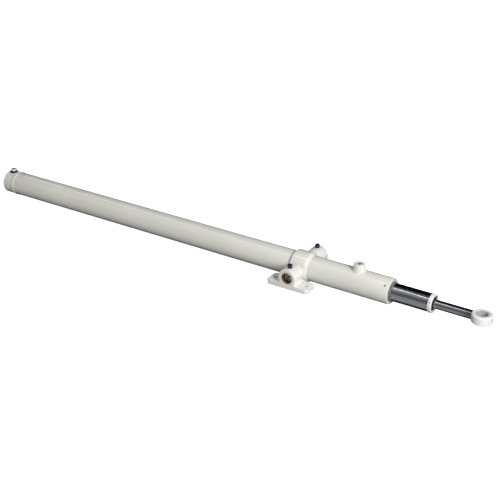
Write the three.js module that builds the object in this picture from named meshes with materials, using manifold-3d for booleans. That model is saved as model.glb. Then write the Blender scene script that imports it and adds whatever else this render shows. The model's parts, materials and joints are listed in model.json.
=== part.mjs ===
// Linear actuator: a two-stage telescopic hydraulic cylinder, hung on trunnion pins between
// two foot-mounted bearing blocks, shown partly extended with an eye on the end of its rod.
// Millimetres. +X runs along the cylinder towards the rod eye, +Y along the trunnion pins
// towards the far block, +Z is up. The origin is where the two axes cross.
// Pieces that touch on the real object stand 0.3 mm apart (GAP).

import * as THREE from 'three';
import { mergeVertices } from 'three/addons/utils/BufferGeometryUtils.js';
import Module from 'manifold-3d';

const wasm = await Module();
wasm.setup();

// ---- driving dimensions ---------------------------------------------------------------

const GAP = 0.3;
const ROUND = 32; // facets on large rounds
const SMALL_ROUND = 24; // facets on small rounds
const TINY_ROUND = 16; // facets on the smallest rounds
const EYE_ROUND = 48; // facets on the rod eye, whose outline shows most

// where the drills and other cutters start and end, inside and outside the metal
const CUT_FROM_Z = 30;
const CUT_TO_Z = 60;
const CUT_PAST = 5; // how far a cutter runs past a face
const SADDLE_HALF = 60;
const BOSS_SADDLE_HALF = 40;
const SOCKET_CUT_TO_Z = 80;

// barrel
const BARREL_R = 47.5;
const BARREL_BORE_R = 40;
const BARREL_REAR_X = -1412;
const BARREL_FRONT_X = 353;
const BARREL_THREAD_R = 41.5;
const BARREL_THREAD_X = 268;
const BARREL_EDGE = 1;

// rear head, closed end of the barrel
const HEAD_REAR_X = -1465;
const HEAD_SPIGOT_X = -1402;
const HEAD_EDGE = 1;
const WELD_BEVEL = 4.5;
const WELD_HALF_WIDTH = 7.3;
const WELD_CROWN = 2.1;
const WELD_LIFT = 0.35; // how far the bead stands off what it joins

// ports
const REAR_PORT_X = -1441.5;
const FRONT_PORT_X = 222;
const PORT_THREAD_R = 9.3;
const PORT_WAY_R = 6;
const REAR_THREAD_FLOOR_Z = 28;
const REAR_WAY_FLOOR_Z = 14;
const REAR_HEAD_WAY_Z = 18;
const REAR_SPOTFACE_Z = 43.5;
const REAR_SPOTFACE_R = 16.5;
const REAR_SEAL_R = 15;
const REAR_SEAL_THICK = 9;
const REAR_PLUG_HEAD_R = 12.5;
const REAR_PLUG_TOP_Z = 60.5;
const REAR_PLUG_FOOT_Z = 30;
const REAR_PLUG_EDGE = 1.5;
const REAR_SOCKET_AF = 12;
const REAR_SOCKET_DEPTH = 8;
const FRONT_BOSS_BASE_Z = 40;
const FRONT_BOSS_BASE_R = 23.5;
const FRONT_BOSS_TOP_Z = 72;
const FRONT_BOSS_TOP_R = 20;
const FRONT_BOSS_EDGE = 1.5;
const FRONT_PLUG_TOP_Z = 71.5;
const FRONT_PLUG_FOOT_Z = 54.5;
const FRONT_SOCKET_AF = 9;
const FRONT_SOCKET_DEPTH = 12;

// trunnion ring and pins
const RING_R = 56;
const RING_HALF = 30;
const RING_EDGE = 1.5;
const FRONT_RING_WELD = { leg: 9.5, topR: 54 };
const REAR_RING_WELD = { leg: 4, topR: 50.5 };
const PIN_R = 19.7;
const PIN_ROOT_Y = 40; // before the ring's saddle is cut in it
const PIN_END_Y = 102;
const PIN_EDGE = 2;
const PIN_CENTRE_R = 4;

// bearing blocks
const BOSS_R = 34;
const BLOCK_INNER_Y = 58.5;
const BLOCK_OUTER_Y = 120;
const BUSH_OUTER_R = 24.7;
const BUSH_BORE_R = 20;
const BUSH_RECESS = 0.5;
const FOOT_HALF_X = 83;
const FOOT_BOTTOM_Z = -42;
const FOOT_TOP_Z = -24;
const FOOT_FILLET_R = 8;
const FOOT_CORNER = 8;
const FOOT_HOLE_X = 60;
const FOOT_HOLE_Y = 90;
const FOOT_HOLE_R = 9;
const FOOT_CUT = { from: -60, to: 0 };
const FOOT_CORNER_CUT = 40;

// grease nipples and their push-on caps
const NIPPLE_Y = 97;
const NIPPLE_HOLE_R = 3;
const NIPPLE_HOLE = { from: 15, to: 45 };
const GREASE_HOLE_R = 2.5;
const GREASE_HOLE = { from: 15, to: 30 };
const NIPPLE_FOOT_Z = 26.7;
const NIPPLE_HEX_AF = 8;
const NIPPLE_HEX_TOP_Z = 38.5;
const NIPPLE_NECK_R = 2;
const NIPPLE_BALL_R = 3.2;
const NIPPLE_TIP_R = 1.8;
const NIPPLE_TOP_Z = 44.2;
const CAP_R = 9;
const CAP_BORE_R = 5;
const CAP_ROOF = 2.6;
const CAP_EDGE = 2;
const CAP_FOOT_Z = 34.8;
const CAP_TOP_Z = 47.4;

// gland, screwed into the front of the barrel
const GLAND_INNER_X = 250;
const GLAND_BORE_R = 33.1;
const GLAND_ORING = { from: 254, to: 260, floorR: 37 };
const GLAND_GUIDE = { from: 280, to: 310, floorR: 36 };
const GLAND_SEAL = { from: 318, to: 328, floorR: 37.8 };
const WIPER_RECESS_X = 342.7;
const WIPER_RECESS_R = 36.8;
const WIPER_LIP_X = 362;
const WIPER_LIP_THICK = 1.6;
const WIPER_ROOT_THICK = 2.9;
const WIPER_PROUD = 1; // how far the wipers' thick part stands out of the face round it
const LOCK_SCREW_X = 338;
const LOCK_SCREW_ANGLE = 135; // degrees from +Y towards +Z
const LOCK_SCREW_R = 3;
const LOCK_SCREW_FOOT_R = 41.6;
const LOCK_SCREW_HEAD_R = 46.6;
const LOCK_SCREW_HOLE = { from: 38, to: 50 };
const LOCK_SOCKET_R = 1.7;
const LOCK_SOCKET = { from: 44, to: 48 };

// sleeve, the first stage
const SLEEVE_R = 32.5;
const SLEEVE_BORE_R = 26;
const SLEEVE_REAR_X = -1270;
const SLEEVE_FRONT_X = 495.7;
const SLEEVE_PISTON_R = 39.3;
const SLEEVE_PISTON_LENGTH = 50;
const SLEEVE_GUIDE = { from: -1264, to: -1244, floorR: 37 };
const SLEEVE_SEAL = { from: -1238, to: -1228, floorR: 35.5 };

// sleeve head, which closes the front of the sleeve round the rod
const SLEEVE_HEAD_INNER_X = 420;
const SLEEVE_HEAD_FRONT_X = 509;
const SLEEVE_HEAD_R = 34;
const SLEEVE_HEAD_EDGE = 2;
const SLEEVE_HEAD_BORE_R = 16.6;
const HEAD_GUIDE = { from: 432, to: 458, floorR: 19 };
const HEAD_ORING = { from: 445, to: 450, floorR: 22.2 };
const HEAD_SEAL = { from: 470, to: 480, floorR: 21 };
const HEAD_WIPER_DEPTH = 8;
const HEAD_RECESS_DEPTH = 6;
const HEAD_RECESS_R = 26.5;
const HEAD_WIPER_THICK = 3;
const HEAD_WIPER_SLOPE = 2;
const SPANNER_HOLE_R = 2.2;
const SPANNER_HOLE_DEPTH = 5;
const SPANNER_CUT_TO_R = 40;
const SPANNER_ROUND = 12;
const SPANNER_HOLE_ANGLES = [61, 151, 241, 331]; // degrees from +Y towards +Z

// rod, the second stage
const ROD_R = 16;
const ROD_SHOULDER_X = -1094;
const ROD_REAR_X = -1142;
const ROD_SPIGOT_R = 11;
const ROD_SPIGOT_EDGE = 1;
const ROD_IN_EYE = 20; // how near the eye's centre the bar runs before the eye's seat is cut
const ROD_PISTON_R = 25.3;
const ROD_PISTON_LENGTH = 33.4;
const ROD_GUIDE = { from: -1123, to: -1113, floorR: 22.5 };
const ROD_SEAL = { from: -1108, to: -1100, floorR: 21 };
const ROD_NUT_AF = 34;
const ROD_NUT_LENGTH = 12.5;

// rod eye
const EYE_X = 677;
const EYE_R = 36.5;
const EYE_HALF = 15.5;
const EYE_EDGE = 3.5;
const EYE_SEAT_R = 24;
const EYE_BORE_R = 20;
const EYE_BUSH_HALF = 15;
const EYE_BUSH_EDGE = 0.8;
const EYE_CUT_HALF = 30;

// ---- colours --------------------------------------------------------------------------

const PAINT = 0xdedcd4;
const PAINT_BRIGHT = 0xf0f0ec;
const CHROME = 0x8d9099;
const STEEL = 0x9a9c9e;
const ZINC = 0xc4c6c8;
const BLACK_STEEL = 0x2b2c2e;
const RUBBER = 0x1b1b1c;
const DUSTY_RUBBER = 0x6b6b64;
const BEARING_TAPE = 0x5f4a33;
const BRONZE = 0x8a5f3a;
const CAP_BLUE = 0x22234e;

// ---- shape helpers --------------------------------------------------------------------

// One closed body with shared corners, no zero-area faces, and faces that look outwards.
function tidied(geometry) {
  const bare = new THREE.BufferGeometry();
  bare.setAttribute('position', geometry.getAttribute('position').clone());
  bare.setIndex(geometry.getIndex());
  const merged = mergeVertices(bare, 1e-4);
  const source = merged.getIndex().array;
  const faces = [];
  for (let i = 0; i < source.length; i += 3) {
    const [a, b, c] = [source[i], source[i + 1], source[i + 2]];
    if (a !== b && b !== c && c !== a) faces.push([a, b, c]);
  }
  const corner = (i) => new THREE.Vector3().fromBufferAttribute(merged.getAttribute('position'), i);
  let volume = 0;
  for (const [a, b, c] of faces) volume += corner(a).dot(corner(b).cross(corner(c)));
  const outward = volume < 0 ? faces.map(([a, b, c]) => [a, c, b]) : faces;
  merged.setIndex(outward.flat());
  return merged;
}

function toManifold(geometry) {
  const clean = tidied(geometry);
  return new wasm.Manifold(new wasm.Mesh({
    numProp: 3,
    vertProperties: Float32Array.from(clean.getAttribute('position').array),
    triVerts: Uint32Array.from(clean.getIndex().array),
  }));
}

function fromManifold(body) {
  const mesh = body.getMesh();
  const geometry = new THREE.BufferGeometry();
  geometry.setAttribute('position', new THREE.BufferAttribute(mesh.vertProperties, 3));
  geometry.setIndex(new THREE.BufferAttribute(mesh.triVerts, 1));
  return tidied(geometry);
}

function cut(geometry, ...tools) {
  let body = toManifold(geometry);
  for (const tool of tools) body = body.subtract(toManifold(tool));
  return fromManifold(body);
}

// Solid of revolution about an axis. points are [distance along the axis, radius].
function turned(points, axis = 'x', facets = ROUND) {
  const outline = points.map(([along, radius]) => new THREE.Vector2(radius, along));
  const solidCore = points[0][1] === 0;
  if (!solidCore) outline.push(outline[0].clone());
  const geometry = new THREE.LatheGeometry(outline, facets);
  if (axis === 'x') geometry.rotateZ(-Math.PI / 2);
  if (axis === 'z') geometry.rotateX(Math.PI / 2);
  return tidied(geometry);
}

// Plain ring: inner and outer radius between two positions on the axis.
function ring(inner, outer, from, to, axis = 'x', facets = ROUND) {
  return turned([[from, inner], [to, inner], [to, outer], [from, outer]], axis, facets);
}

// Plain bar: a solid round (or hexagon, with six facets) between two positions on the axis.
function bar(radius, from, to, axis = 'x', facets = ROUND) {
  return turned([[from, 0], [from, radius], [to, radius], [to, 0]], axis, facets);
}

function hexBar(acrossFlats, from, to, axis = 'z') {
  return bar(acrossFlats / Math.sqrt(3), from, to, axis, 6);
}

// Corners of the groove a ring lies in, cut in a surface of radius faceR, from low to high X.
function groove(slot, faceR) {
  return [
    [slot.from - GAP, faceR],
    [slot.from - GAP, slot.floorR],
    [slot.to + GAP, slot.floorR],
    [slot.to + GAP, faceR],
  ];
}

// Ring that lies in a groove cut in a bore, and rubs on the shaft through it.
function ringInBore(slot, shaftR, facets = ROUND) {
  return ring(shaftR + GAP, slot.floorR - GAP, slot.from, slot.to, 'x', facets);
}

// Ring that lies in a groove cut round a shaft, and rubs on the bore round it.
function ringOnShaft(slot, boreR, facets = ROUND) {
  return ring(slot.floorR + GAP, boreR - GAP, slot.from, slot.to, 'x', facets);
}

// Bar that points straight out from the X axis, at an angle from +Y towards +Z.
function radialBar(radius, from, to, x, degrees, facets = TINY_ROUND) {
  const geometry = bar(radius, from, to, 'y', facets);
  geometry.rotateX(THREE.MathUtils.degToRad(degrees));
  return geometry.translate(x, 0, 0);
}

// ---- the object -----------------------------------------------------------------------

const actuator = new THREE.Group();
actuator.name = 'linear_actuator';

function add(name, geometry, color, metalness = 0.1, roughness = 0.5) {
  const material = new THREE.MeshStandardMaterial({ color, metalness, roughness });
  const mesh = new THREE.Mesh(geometry, material);
  mesh.name = name;
  actuator.add(mesh);
}

// Barrel: a honed tube with a weld bevel behind and a gland thread in front.
const tube = turned([
  [BARREL_REAR_X, BARREL_BORE_R],
  [BARREL_THREAD_X, BARREL_BORE_R],
  [BARREL_THREAD_X, BARREL_THREAD_R],
  [BARREL_FRONT_X, BARREL_THREAD_R],
  [BARREL_FRONT_X, BARREL_R - BARREL_EDGE],
  [BARREL_FRONT_X - BARREL_EDGE, BARREL_R],
  [BARREL_REAR_X + WELD_BEVEL, BARREL_R],
  [BARREL_REAR_X, BARREL_R - WELD_BEVEL],
]);
const frontPortWay = bar(PORT_WAY_R, CUT_FROM_Z, CUT_TO_Z, 'z', SMALL_ROUND)
  .translate(FRONT_PORT_X, 0, 0);
const lockScrewHole = radialBar(
  LOCK_SCREW_R + GAP,
  LOCK_SCREW_HOLE.from,
  LOCK_SCREW_HOLE.to,
  LOCK_SCREW_X,
  LOCK_SCREW_ANGLE,
);
add('barrel_tube', cut(tube, frontPortWay, lockScrewHole), PAINT);

// Rear head: plug with a spigot in the tube and a drilled oil way to the port on top.
const headFrontX = BARREL_REAR_X - 2 * GAP;
const head = turned([
  [HEAD_REAR_X, 0],
  [HEAD_REAR_X, BARREL_R - HEAD_EDGE],
  [HEAD_REAR_X + HEAD_EDGE, BARREL_R],
  [headFrontX - WELD_BEVEL, BARREL_R],
  [headFrontX, BARREL_R - WELD_BEVEL],
  [headFrontX, BARREL_BORE_R - GAP],
  [HEAD_SPIGOT_X, BARREL_BORE_R - GAP],
  [HEAD_SPIGOT_X, 0],
]);
const spotface = bar(REAR_SPOTFACE_R, REAR_SPOTFACE_Z, CUT_TO_Z, 'z', SMALL_ROUND);
const rearThread = bar(PORT_THREAD_R, REAR_THREAD_FLOOR_Z, CUT_TO_Z, 'z', SMALL_ROUND);
const rearPortWay = bar(PORT_WAY_R, REAR_WAY_FLOOR_Z, CUT_FROM_Z, 'z', SMALL_ROUND);
const headWay = bar(PORT_WAY_R, REAR_PORT_X - PORT_WAY_R, HEAD_SPIGOT_X + CUT_PAST, 'x', SMALL_ROUND);
add('rear_head', cut(
  head,
  spotface.translate(REAR_PORT_X, 0, 0),
  rearThread.translate(REAR_PORT_X, 0, 0),
  rearPortWay.translate(REAR_PORT_X, 0, 0),
  headWay.translate(0, 0, REAR_HEAD_WAY_Z),
), PAINT);

// Weld bead in the V between the head and the tube, crowned above their surface.
const weldX = BARREL_REAR_X - GAP;
const weldBaseR = BARREL_R + WELD_LIFT;
add('rear_head_weld', turned([
  [weldX, BARREL_R - WELD_BEVEL + 2 * WELD_LIFT],
  [weldX + WELD_BEVEL - WELD_LIFT, weldBaseR],
  [weldX + WELD_HALF_WIDTH, weldBaseR],
  [weldX + 0.6 * WELD_HALF_WIDTH, BARREL_R + 0.75 * WELD_CROWN],
  [weldX, BARREL_R + WELD_CROWN],
  [weldX - 0.6 * WELD_HALF_WIDTH, BARREL_R + 0.75 * WELD_CROWN],
  [weldX - WELD_HALF_WIDTH, weldBaseR],
  [weldX - WELD_BEVEL + WELD_LIFT, weldBaseR],
]), PAINT);

// Rear port: sealing ring on the spotface, and the screwed plug that stands on it.
const sealBottomZ = REAR_SPOTFACE_Z + GAP;
const sealTopZ = sealBottomZ + REAR_SEAL_THICK;
add('rear_port_seal', ring(PORT_THREAD_R, REAR_SEAL_R, sealBottomZ, sealTopZ, 'z', SMALL_ROUND)
  .translate(REAR_PORT_X, 0, 0), RUBBER, 0, 0.7);
const rearPlug = turned([
  [REAR_PLUG_FOOT_Z, 0],
  [REAR_PLUG_FOOT_Z, PORT_THREAD_R - 2 * GAP],
  [sealTopZ + GAP, PORT_THREAD_R - 2 * GAP],
  [sealTopZ + GAP, REAR_PLUG_HEAD_R],
  [REAR_PLUG_TOP_Z - REAR_PLUG_EDGE, REAR_PLUG_HEAD_R],
  [REAR_PLUG_TOP_Z, REAR_PLUG_HEAD_R - REAR_PLUG_EDGE],
  [REAR_PLUG_TOP_Z, 0],
], 'z', SMALL_ROUND);
const rearSocket = hexBar(REAR_SOCKET_AF, REAR_PLUG_TOP_Z - REAR_SOCKET_DEPTH, SOCKET_CUT_TO_Z);
add('rear_port_plug', cut(rearPlug, rearSocket).translate(REAR_PORT_X, 0, 0), ZINC, 0.9, 0.3);

// Front port: tapered weld-on boss saddled on the tube, with a plug sunk in its mouth.
const frontBoss = turned([
  [FRONT_BOSS_BASE_Z, 0],
  [FRONT_BOSS_BASE_Z, FRONT_BOSS_BASE_R],
  [FRONT_BOSS_TOP_Z - FRONT_BOSS_EDGE, FRONT_BOSS_TOP_R],
  [FRONT_BOSS_TOP_Z, FRONT_BOSS_TOP_R - FRONT_BOSS_EDGE],
  [FRONT_BOSS_TOP_Z, 0],
], 'z', SMALL_ROUND).translate(FRONT_PORT_X, 0, 0);
const bossSaddle = bar(BARREL_R + GAP, FRONT_PORT_X - BOSS_SADDLE_HALF, FRONT_PORT_X + BOSS_SADDLE_HALF);
const bossWay = bar(PORT_WAY_R, FRONT_BOSS_BASE_Z, CUT_TO_Z, 'z', SMALL_ROUND);
const bossThread = bar(PORT_THREAD_R, FRONT_PLUG_FOOT_Z - GAP, SOCKET_CUT_TO_Z, 'z', SMALL_ROUND);
add('front_port_boss', cut(
  frontBoss,
  bossSaddle,
  bossWay.translate(FRONT_PORT_X, 0, 0),
  bossThread.translate(FRONT_PORT_X, 0, 0),
), PAINT_BRIGHT);
const frontPlug = bar(PORT_THREAD_R - GAP, FRONT_PLUG_FOOT_Z, FRONT_PLUG_TOP_Z, 'z', SMALL_ROUND);
const frontSocket = hexBar(FRONT_SOCKET_AF, FRONT_PLUG_TOP_Z - FRONT_SOCKET_DEPTH, SOCKET_CUT_TO_Z);
add('front_port_plug', cut(frontPlug, frontSocket).translate(FRONT_PORT_X, 0, 0), PAINT_BRIGHT);

// Trunnion ring, shrunk on the tube and welded round both edges.
add('trunnion_ring', turned([
  [-RING_HALF, BARREL_R + GAP],
  [RING_HALF, BARREL_R + GAP],
  [RING_HALF, RING_R - RING_EDGE],
  [RING_HALF - RING_EDGE, RING_R],
  [-RING_HALF + RING_EDGE, RING_R],
  [-RING_HALF, RING_R - RING_EDGE],
]), PAINT_BRIGHT);
for (const [name, side, weld] of [
  ['ring_weld_front', 1, FRONT_RING_WELD],
  ['ring_weld_rear', -1, REAR_RING_WELD],
]) {
  const near = side * (RING_HALF + GAP);
  const height = weld.topR - BARREL_R;
  add(name, turned([
    [near, BARREL_R + GAP],
    [near + side * weld.leg, BARREL_R + GAP],
    [near + side * weld.leg, BARREL_R + 0.15 * height],
    [near + side * 0.4 * weld.leg, BARREL_R + 0.65 * height],
    [near, weld.topR],
  ]), PAINT_BRIGHT);
}

// Outline of a bearing block seen along Y: a round boss that runs down into a flat foot.
function blockOutline() {
  const centreZ = FOOT_TOP_Z + FOOT_FILLET_R;
  const reach = BOSS_R + FOOT_FILLET_R;
  const centreX = Math.sqrt(reach ** 2 - centreZ ** 2);
  const angle = Math.atan2(centreZ, centreX);
  const shape = new THREE.Shape();
  shape.moveTo(-FOOT_HALF_X, FOOT_BOTTOM_Z);
  shape.lineTo(FOOT_HALF_X, FOOT_BOTTOM_Z);
  shape.lineTo(FOOT_HALF_X, FOOT_TOP_Z);
  shape.lineTo(centreX, FOOT_TOP_Z);
  shape.absarc(centreX, centreZ, FOOT_FILLET_R, -Math.PI / 2, angle - Math.PI, true);
  shape.absarc(0, 0, BOSS_R, angle, Math.PI - angle, false);
  shape.absarc(-centreX, centreZ, FOOT_FILLET_R, -angle, -Math.PI / 2, true);
  shape.lineTo(-FOOT_HALF_X, FOOT_TOP_Z);
  return shape;
}

// Square bar turned 45 degrees, for taking a corner off the foot.
function cornerCutter(x, y) {
  const side = FOOT_CORNER * Math.SQRT2;
  const cutter = new THREE.BoxGeometry(side, side, FOOT_CORNER_CUT);
  cutter.rotateZ(Math.PI / 4);
  return cutter.translate(x, y, FOOT_BOTTOM_Z);
}

// side is -1 for the near block and +1 for the far one.
function addTrunnionSide(label, side) {
  const [low, high] = side < 0 ? [-BLOCK_OUTER_Y, -BLOCK_INNER_Y] : [BLOCK_INNER_Y, BLOCK_OUTER_Y];
  const casting = new THREE.ExtrudeGeometry(blockOutline(), {
    depth: high - low,
    bevelEnabled: false,
    curveSegments: 14,
  });
  casting.rotateX(Math.PI / 2);
  casting.translate(0, high, 0);
  const holes = [-1, 1].map((end) => bar(FOOT_HOLE_R, FOOT_CUT.from, FOOT_CUT.to, 'z', SMALL_ROUND)
    .translate(end * FOOT_HOLE_X, side * FOOT_HOLE_Y, 0));
  const corners = [-1, 1].flatMap((end) => [low, high].map((y) => cornerCutter(end * FOOT_HALF_X, y)));
  const seat = bar(BUSH_OUTER_R + GAP, low - CUT_PAST, high + CUT_PAST, 'y');
  const nippleHole = bar(NIPPLE_HOLE_R, NIPPLE_HOLE.from, NIPPLE_HOLE.to, 'z', TINY_ROUND)
    .translate(0, side * NIPPLE_Y, 0);
  add(`${label}_block`, cut(casting, seat, nippleHole, ...holes, ...corners), PAINT_BRIGHT);

  const bush = ring(BUSH_BORE_R, BUSH_OUTER_R, low + BUSH_RECESS, high - BUSH_RECESS, 'y');
  const greaseHole = bar(GREASE_HOLE_R, GREASE_HOLE.from, GREASE_HOLE.to, 'z', TINY_ROUND)
    .translate(0, side * NIPPLE_Y, 0);
  add(`${label}_bush`, cut(bush, greaseHole), BRONZE, 0.8, 0.4);

  // Trunnion pin, saddled on the ring, with a centre hole in its end.
  const pin = turned([
    [PIN_ROOT_Y, 0],
    [PIN_ROOT_Y, PIN_R],
    [PIN_END_Y - PIN_EDGE, PIN_R],
    [PIN_END_Y, PIN_R - PIN_EDGE],
    [PIN_END_Y, PIN_CENTRE_R],
    [PIN_END_Y - PIN_CENTRE_R, 0],
  ], 'y');
  if (side < 0) pin.rotateZ(Math.PI);
  add(`${label}_pin`, cut(pin, bar(RING_R + GAP, -SADDLE_HALF, SADDLE_HALF)), STEEL, 0.8, 0.45);

  // Grease nipple: threaded stem, hexagon and ball head, in one piece.
  const nippleRound = turned([
    [NIPPLE_FOOT_Z, 0],
    [NIPPLE_FOOT_Z, NIPPLE_HOLE_R - GAP],
    [NIPPLE_TOP_Z - 5, NIPPLE_HOLE_R - GAP],
    [NIPPLE_TOP_Z - 4, NIPPLE_NECK_R],
    [NIPPLE_TOP_Z - 2, NIPPLE_BALL_R],
    [NIPPLE_TOP_Z, NIPPLE_TIP_R],
    [NIPPLE_TOP_Z, 0],
  ], 'z', TINY_ROUND);
  const hexagon = hexBar(NIPPLE_HEX_AF, BOSS_R + GAP, NIPPLE_HEX_TOP_Z);
  const nipple = fromManifold(toManifold(nippleRound).add(toManifold(hexagon)));
  add(`${label}_nipple`, nipple.translate(0, side * NIPPLE_Y, 0), ZINC, 0.9, 0.3);

  // Push-on cap: a soft cup over the whole nipple.
  const cap = turned([
    [CAP_TOP_Z - CAP_ROOF, 0],
    [CAP_TOP_Z - CAP_ROOF, CAP_BORE_R],
    [CAP_FOOT_Z, CAP_BORE_R],
    [CAP_FOOT_Z, CAP_R],
    [CAP_TOP_Z - CAP_EDGE, CAP_R],
    [CAP_TOP_Z, CAP_R - CAP_EDGE],
    [CAP_TOP_Z, 0],
  ], 'z', SMALL_ROUND);
  add(`${label}_cap`, cap.translate(0, side * NIPPLE_Y, 0), CAP_BLUE, 0, 0.5);
}
addTrunnionSide('near', -1);
addTrunnionSide('far', 1);

// Gland: threaded bush with grooves for its seal, guide ring and wiper.
add('gland_head', turned([
  [GLAND_INNER_X, GLAND_BORE_R],
  ...groove(GLAND_GUIDE, GLAND_BORE_R),
  ...groove(GLAND_SEAL, GLAND_BORE_R),
  [WIPER_RECESS_X, GLAND_BORE_R],
  [WIPER_RECESS_X, WIPER_RECESS_R],
  [BARREL_FRONT_X, WIPER_RECESS_R],
  [BARREL_FRONT_X, BARREL_THREAD_R - GAP],
  [BARREL_THREAD_X + GAP, BARREL_THREAD_R - GAP],
  [BARREL_THREAD_X + GAP, BARREL_BORE_R - GAP],
  ...groove(GLAND_ORING, BARREL_BORE_R - GAP).reverse(),
  [GLAND_INNER_X, BARREL_BORE_R - GAP],
]), PAINT_BRIGHT);
add('gland_oring', ringOnShaft(GLAND_ORING, BARREL_BORE_R), RUBBER, 0, 0.7);
add('gland_guide_ring', ringInBore(GLAND_GUIDE, SLEEVE_R), BEARING_TAPE, 0, 0.6);
add('gland_seal', ringInBore(GLAND_SEAL, SLEEVE_R), RUBBER, 0, 0.7);
// The wiper's lip stands out of the gland and rubs on the sleeve.
add('gland_wiper', turned([
  [WIPER_RECESS_X + GAP, SLEEVE_R + GAP],
  [WIPER_LIP_X, SLEEVE_R + GAP],
  [WIPER_LIP_X, SLEEVE_R + WIPER_LIP_THICK],
  [BARREL_FRONT_X + WIPER_PROUD, SLEEVE_R + WIPER_ROOT_THICK],
  [BARREL_FRONT_X + WIPER_PROUD, WIPER_RECESS_R - GAP],
  [WIPER_RECESS_X + GAP, WIPER_RECESS_R - GAP],
]), DUSTY_RUBBER, 0, 0.7);
const lockScrew = radialBar(
  LOCK_SCREW_R,
  LOCK_SCREW_FOOT_R,
  LOCK_SCREW_HEAD_R,
  LOCK_SCREW_X,
  LOCK_SCREW_ANGLE,
);
const lockSocket = radialBar(
  LOCK_SOCKET_R,
  LOCK_SOCKET.from,
  LOCK_SOCKET.to,
  LOCK_SCREW_X,
  LOCK_SCREW_ANGLE,
  6,
);
add('gland_lock_screw', cut(lockScrew, lockSocket), BLACK_STEEL, 0.8, 0.4);

// Sleeve: the hollow first stage, with its piston outside the rear end.
add('sleeve_tube', ring(SLEEVE_BORE_R, SLEEVE_R, SLEEVE_REAR_X, SLEEVE_FRONT_X), CHROME, 1, 0.15);
const sleevePistonFrontX = SLEEVE_REAR_X + SLEEVE_PISTON_LENGTH;
add('sleeve_piston', turned([
  [SLEEVE_REAR_X, SLEEVE_R + GAP],
  [sleevePistonFrontX, SLEEVE_R + GAP],
  [sleevePistonFrontX, SLEEVE_PISTON_R],
  ...groove(SLEEVE_SEAL, SLEEVE_PISTON_R).reverse(),
  ...groove(SLEEVE_GUIDE, SLEEVE_PISTON_R).reverse(),
  [SLEEVE_REAR_X, SLEEVE_PISTON_R],
]), STEEL, 0.8, 0.4);
add('sleeve_piston_seal', ringOnShaft(SLEEVE_SEAL, BARREL_BORE_R), RUBBER, 0, 0.7);
add('sleeve_piston_guide', ringOnShaft(SLEEVE_GUIDE, BARREL_BORE_R), BEARING_TAPE, 0, 0.6);

// Sleeve head: screwed into the sleeve, with four spanner holes round its collar.
const headWiperX = SLEEVE_HEAD_FRONT_X - HEAD_WIPER_DEPTH;
const headRecessX = SLEEVE_HEAD_FRONT_X - HEAD_RECESS_DEPTH;
const sleeveHead = turned([
  [SLEEVE_HEAD_INNER_X, SLEEVE_HEAD_BORE_R],
  ...groove(HEAD_GUIDE, SLEEVE_HEAD_BORE_R),
  ...groove(HEAD_SEAL, SLEEVE_HEAD_BORE_R),
  [headWiperX - GAP, SLEEVE_HEAD_BORE_R],
  [headWiperX - GAP, HEAD_RECESS_R],
  [SLEEVE_HEAD_FRONT_X, HEAD_RECESS_R],
  [SLEEVE_HEAD_FRONT_X, SLEEVE_HEAD_R - SLEEVE_HEAD_EDGE],
  [SLEEVE_HEAD_FRONT_X - SLEEVE_HEAD_EDGE, SLEEVE_HEAD_R],
  [SLEEVE_FRONT_X + GAP, SLEEVE_HEAD_R],
  [SLEEVE_FRONT_X + GAP, SLEEVE_BORE_R - GAP],
  ...groove(HEAD_ORING, SLEEVE_BORE_R - GAP).reverse(),
  [SLEEVE_HEAD_INNER_X, SLEEVE_BORE_R - GAP],
]);
const spannerHoles = SPANNER_HOLE_ANGLES.map((degrees) => radialBar(
  SPANNER_HOLE_R,
  SLEEVE_HEAD_R - SPANNER_HOLE_DEPTH,
  SPANNER_CUT_TO_R,
  (SLEEVE_FRONT_X + SLEEVE_HEAD_FRONT_X) / 2,
  degrees,
  SPANNER_ROUND,
));
add('sleeve_head', cut(sleeveHead, ...spannerHoles), PAINT_BRIGHT);
add('head_oring', ringOnShaft(HEAD_ORING, SLEEVE_BORE_R, SMALL_ROUND), RUBBER, 0, 0.7);
add('head_guide_ring', ringInBore(HEAD_GUIDE, ROD_R, SMALL_ROUND), BEARING_TAPE, 0, 0.6);
add('head_seal', ringInBore(HEAD_SEAL, ROD_R, SMALL_ROUND), RUBBER, 0, 0.7);
add('head_wiper', turned([
  [headWiperX, ROD_R + GAP],
  [SLEEVE_HEAD_FRONT_X + WIPER_PROUD, ROD_R + GAP],
  [SLEEVE_HEAD_FRONT_X + WIPER_PROUD, ROD_R + WIPER_LIP_THICK],
  [SLEEVE_HEAD_FRONT_X - HEAD_WIPER_SLOPE, ROD_R + HEAD_WIPER_THICK],
  [headRecessX, ROD_R + HEAD_WIPER_THICK],
  [headRecessX, HEAD_RECESS_R - GAP],
  [headWiperX, HEAD_RECESS_R - GAP],
], 'x', SMALL_ROUND), RUBBER, 0, 0.7);

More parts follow.
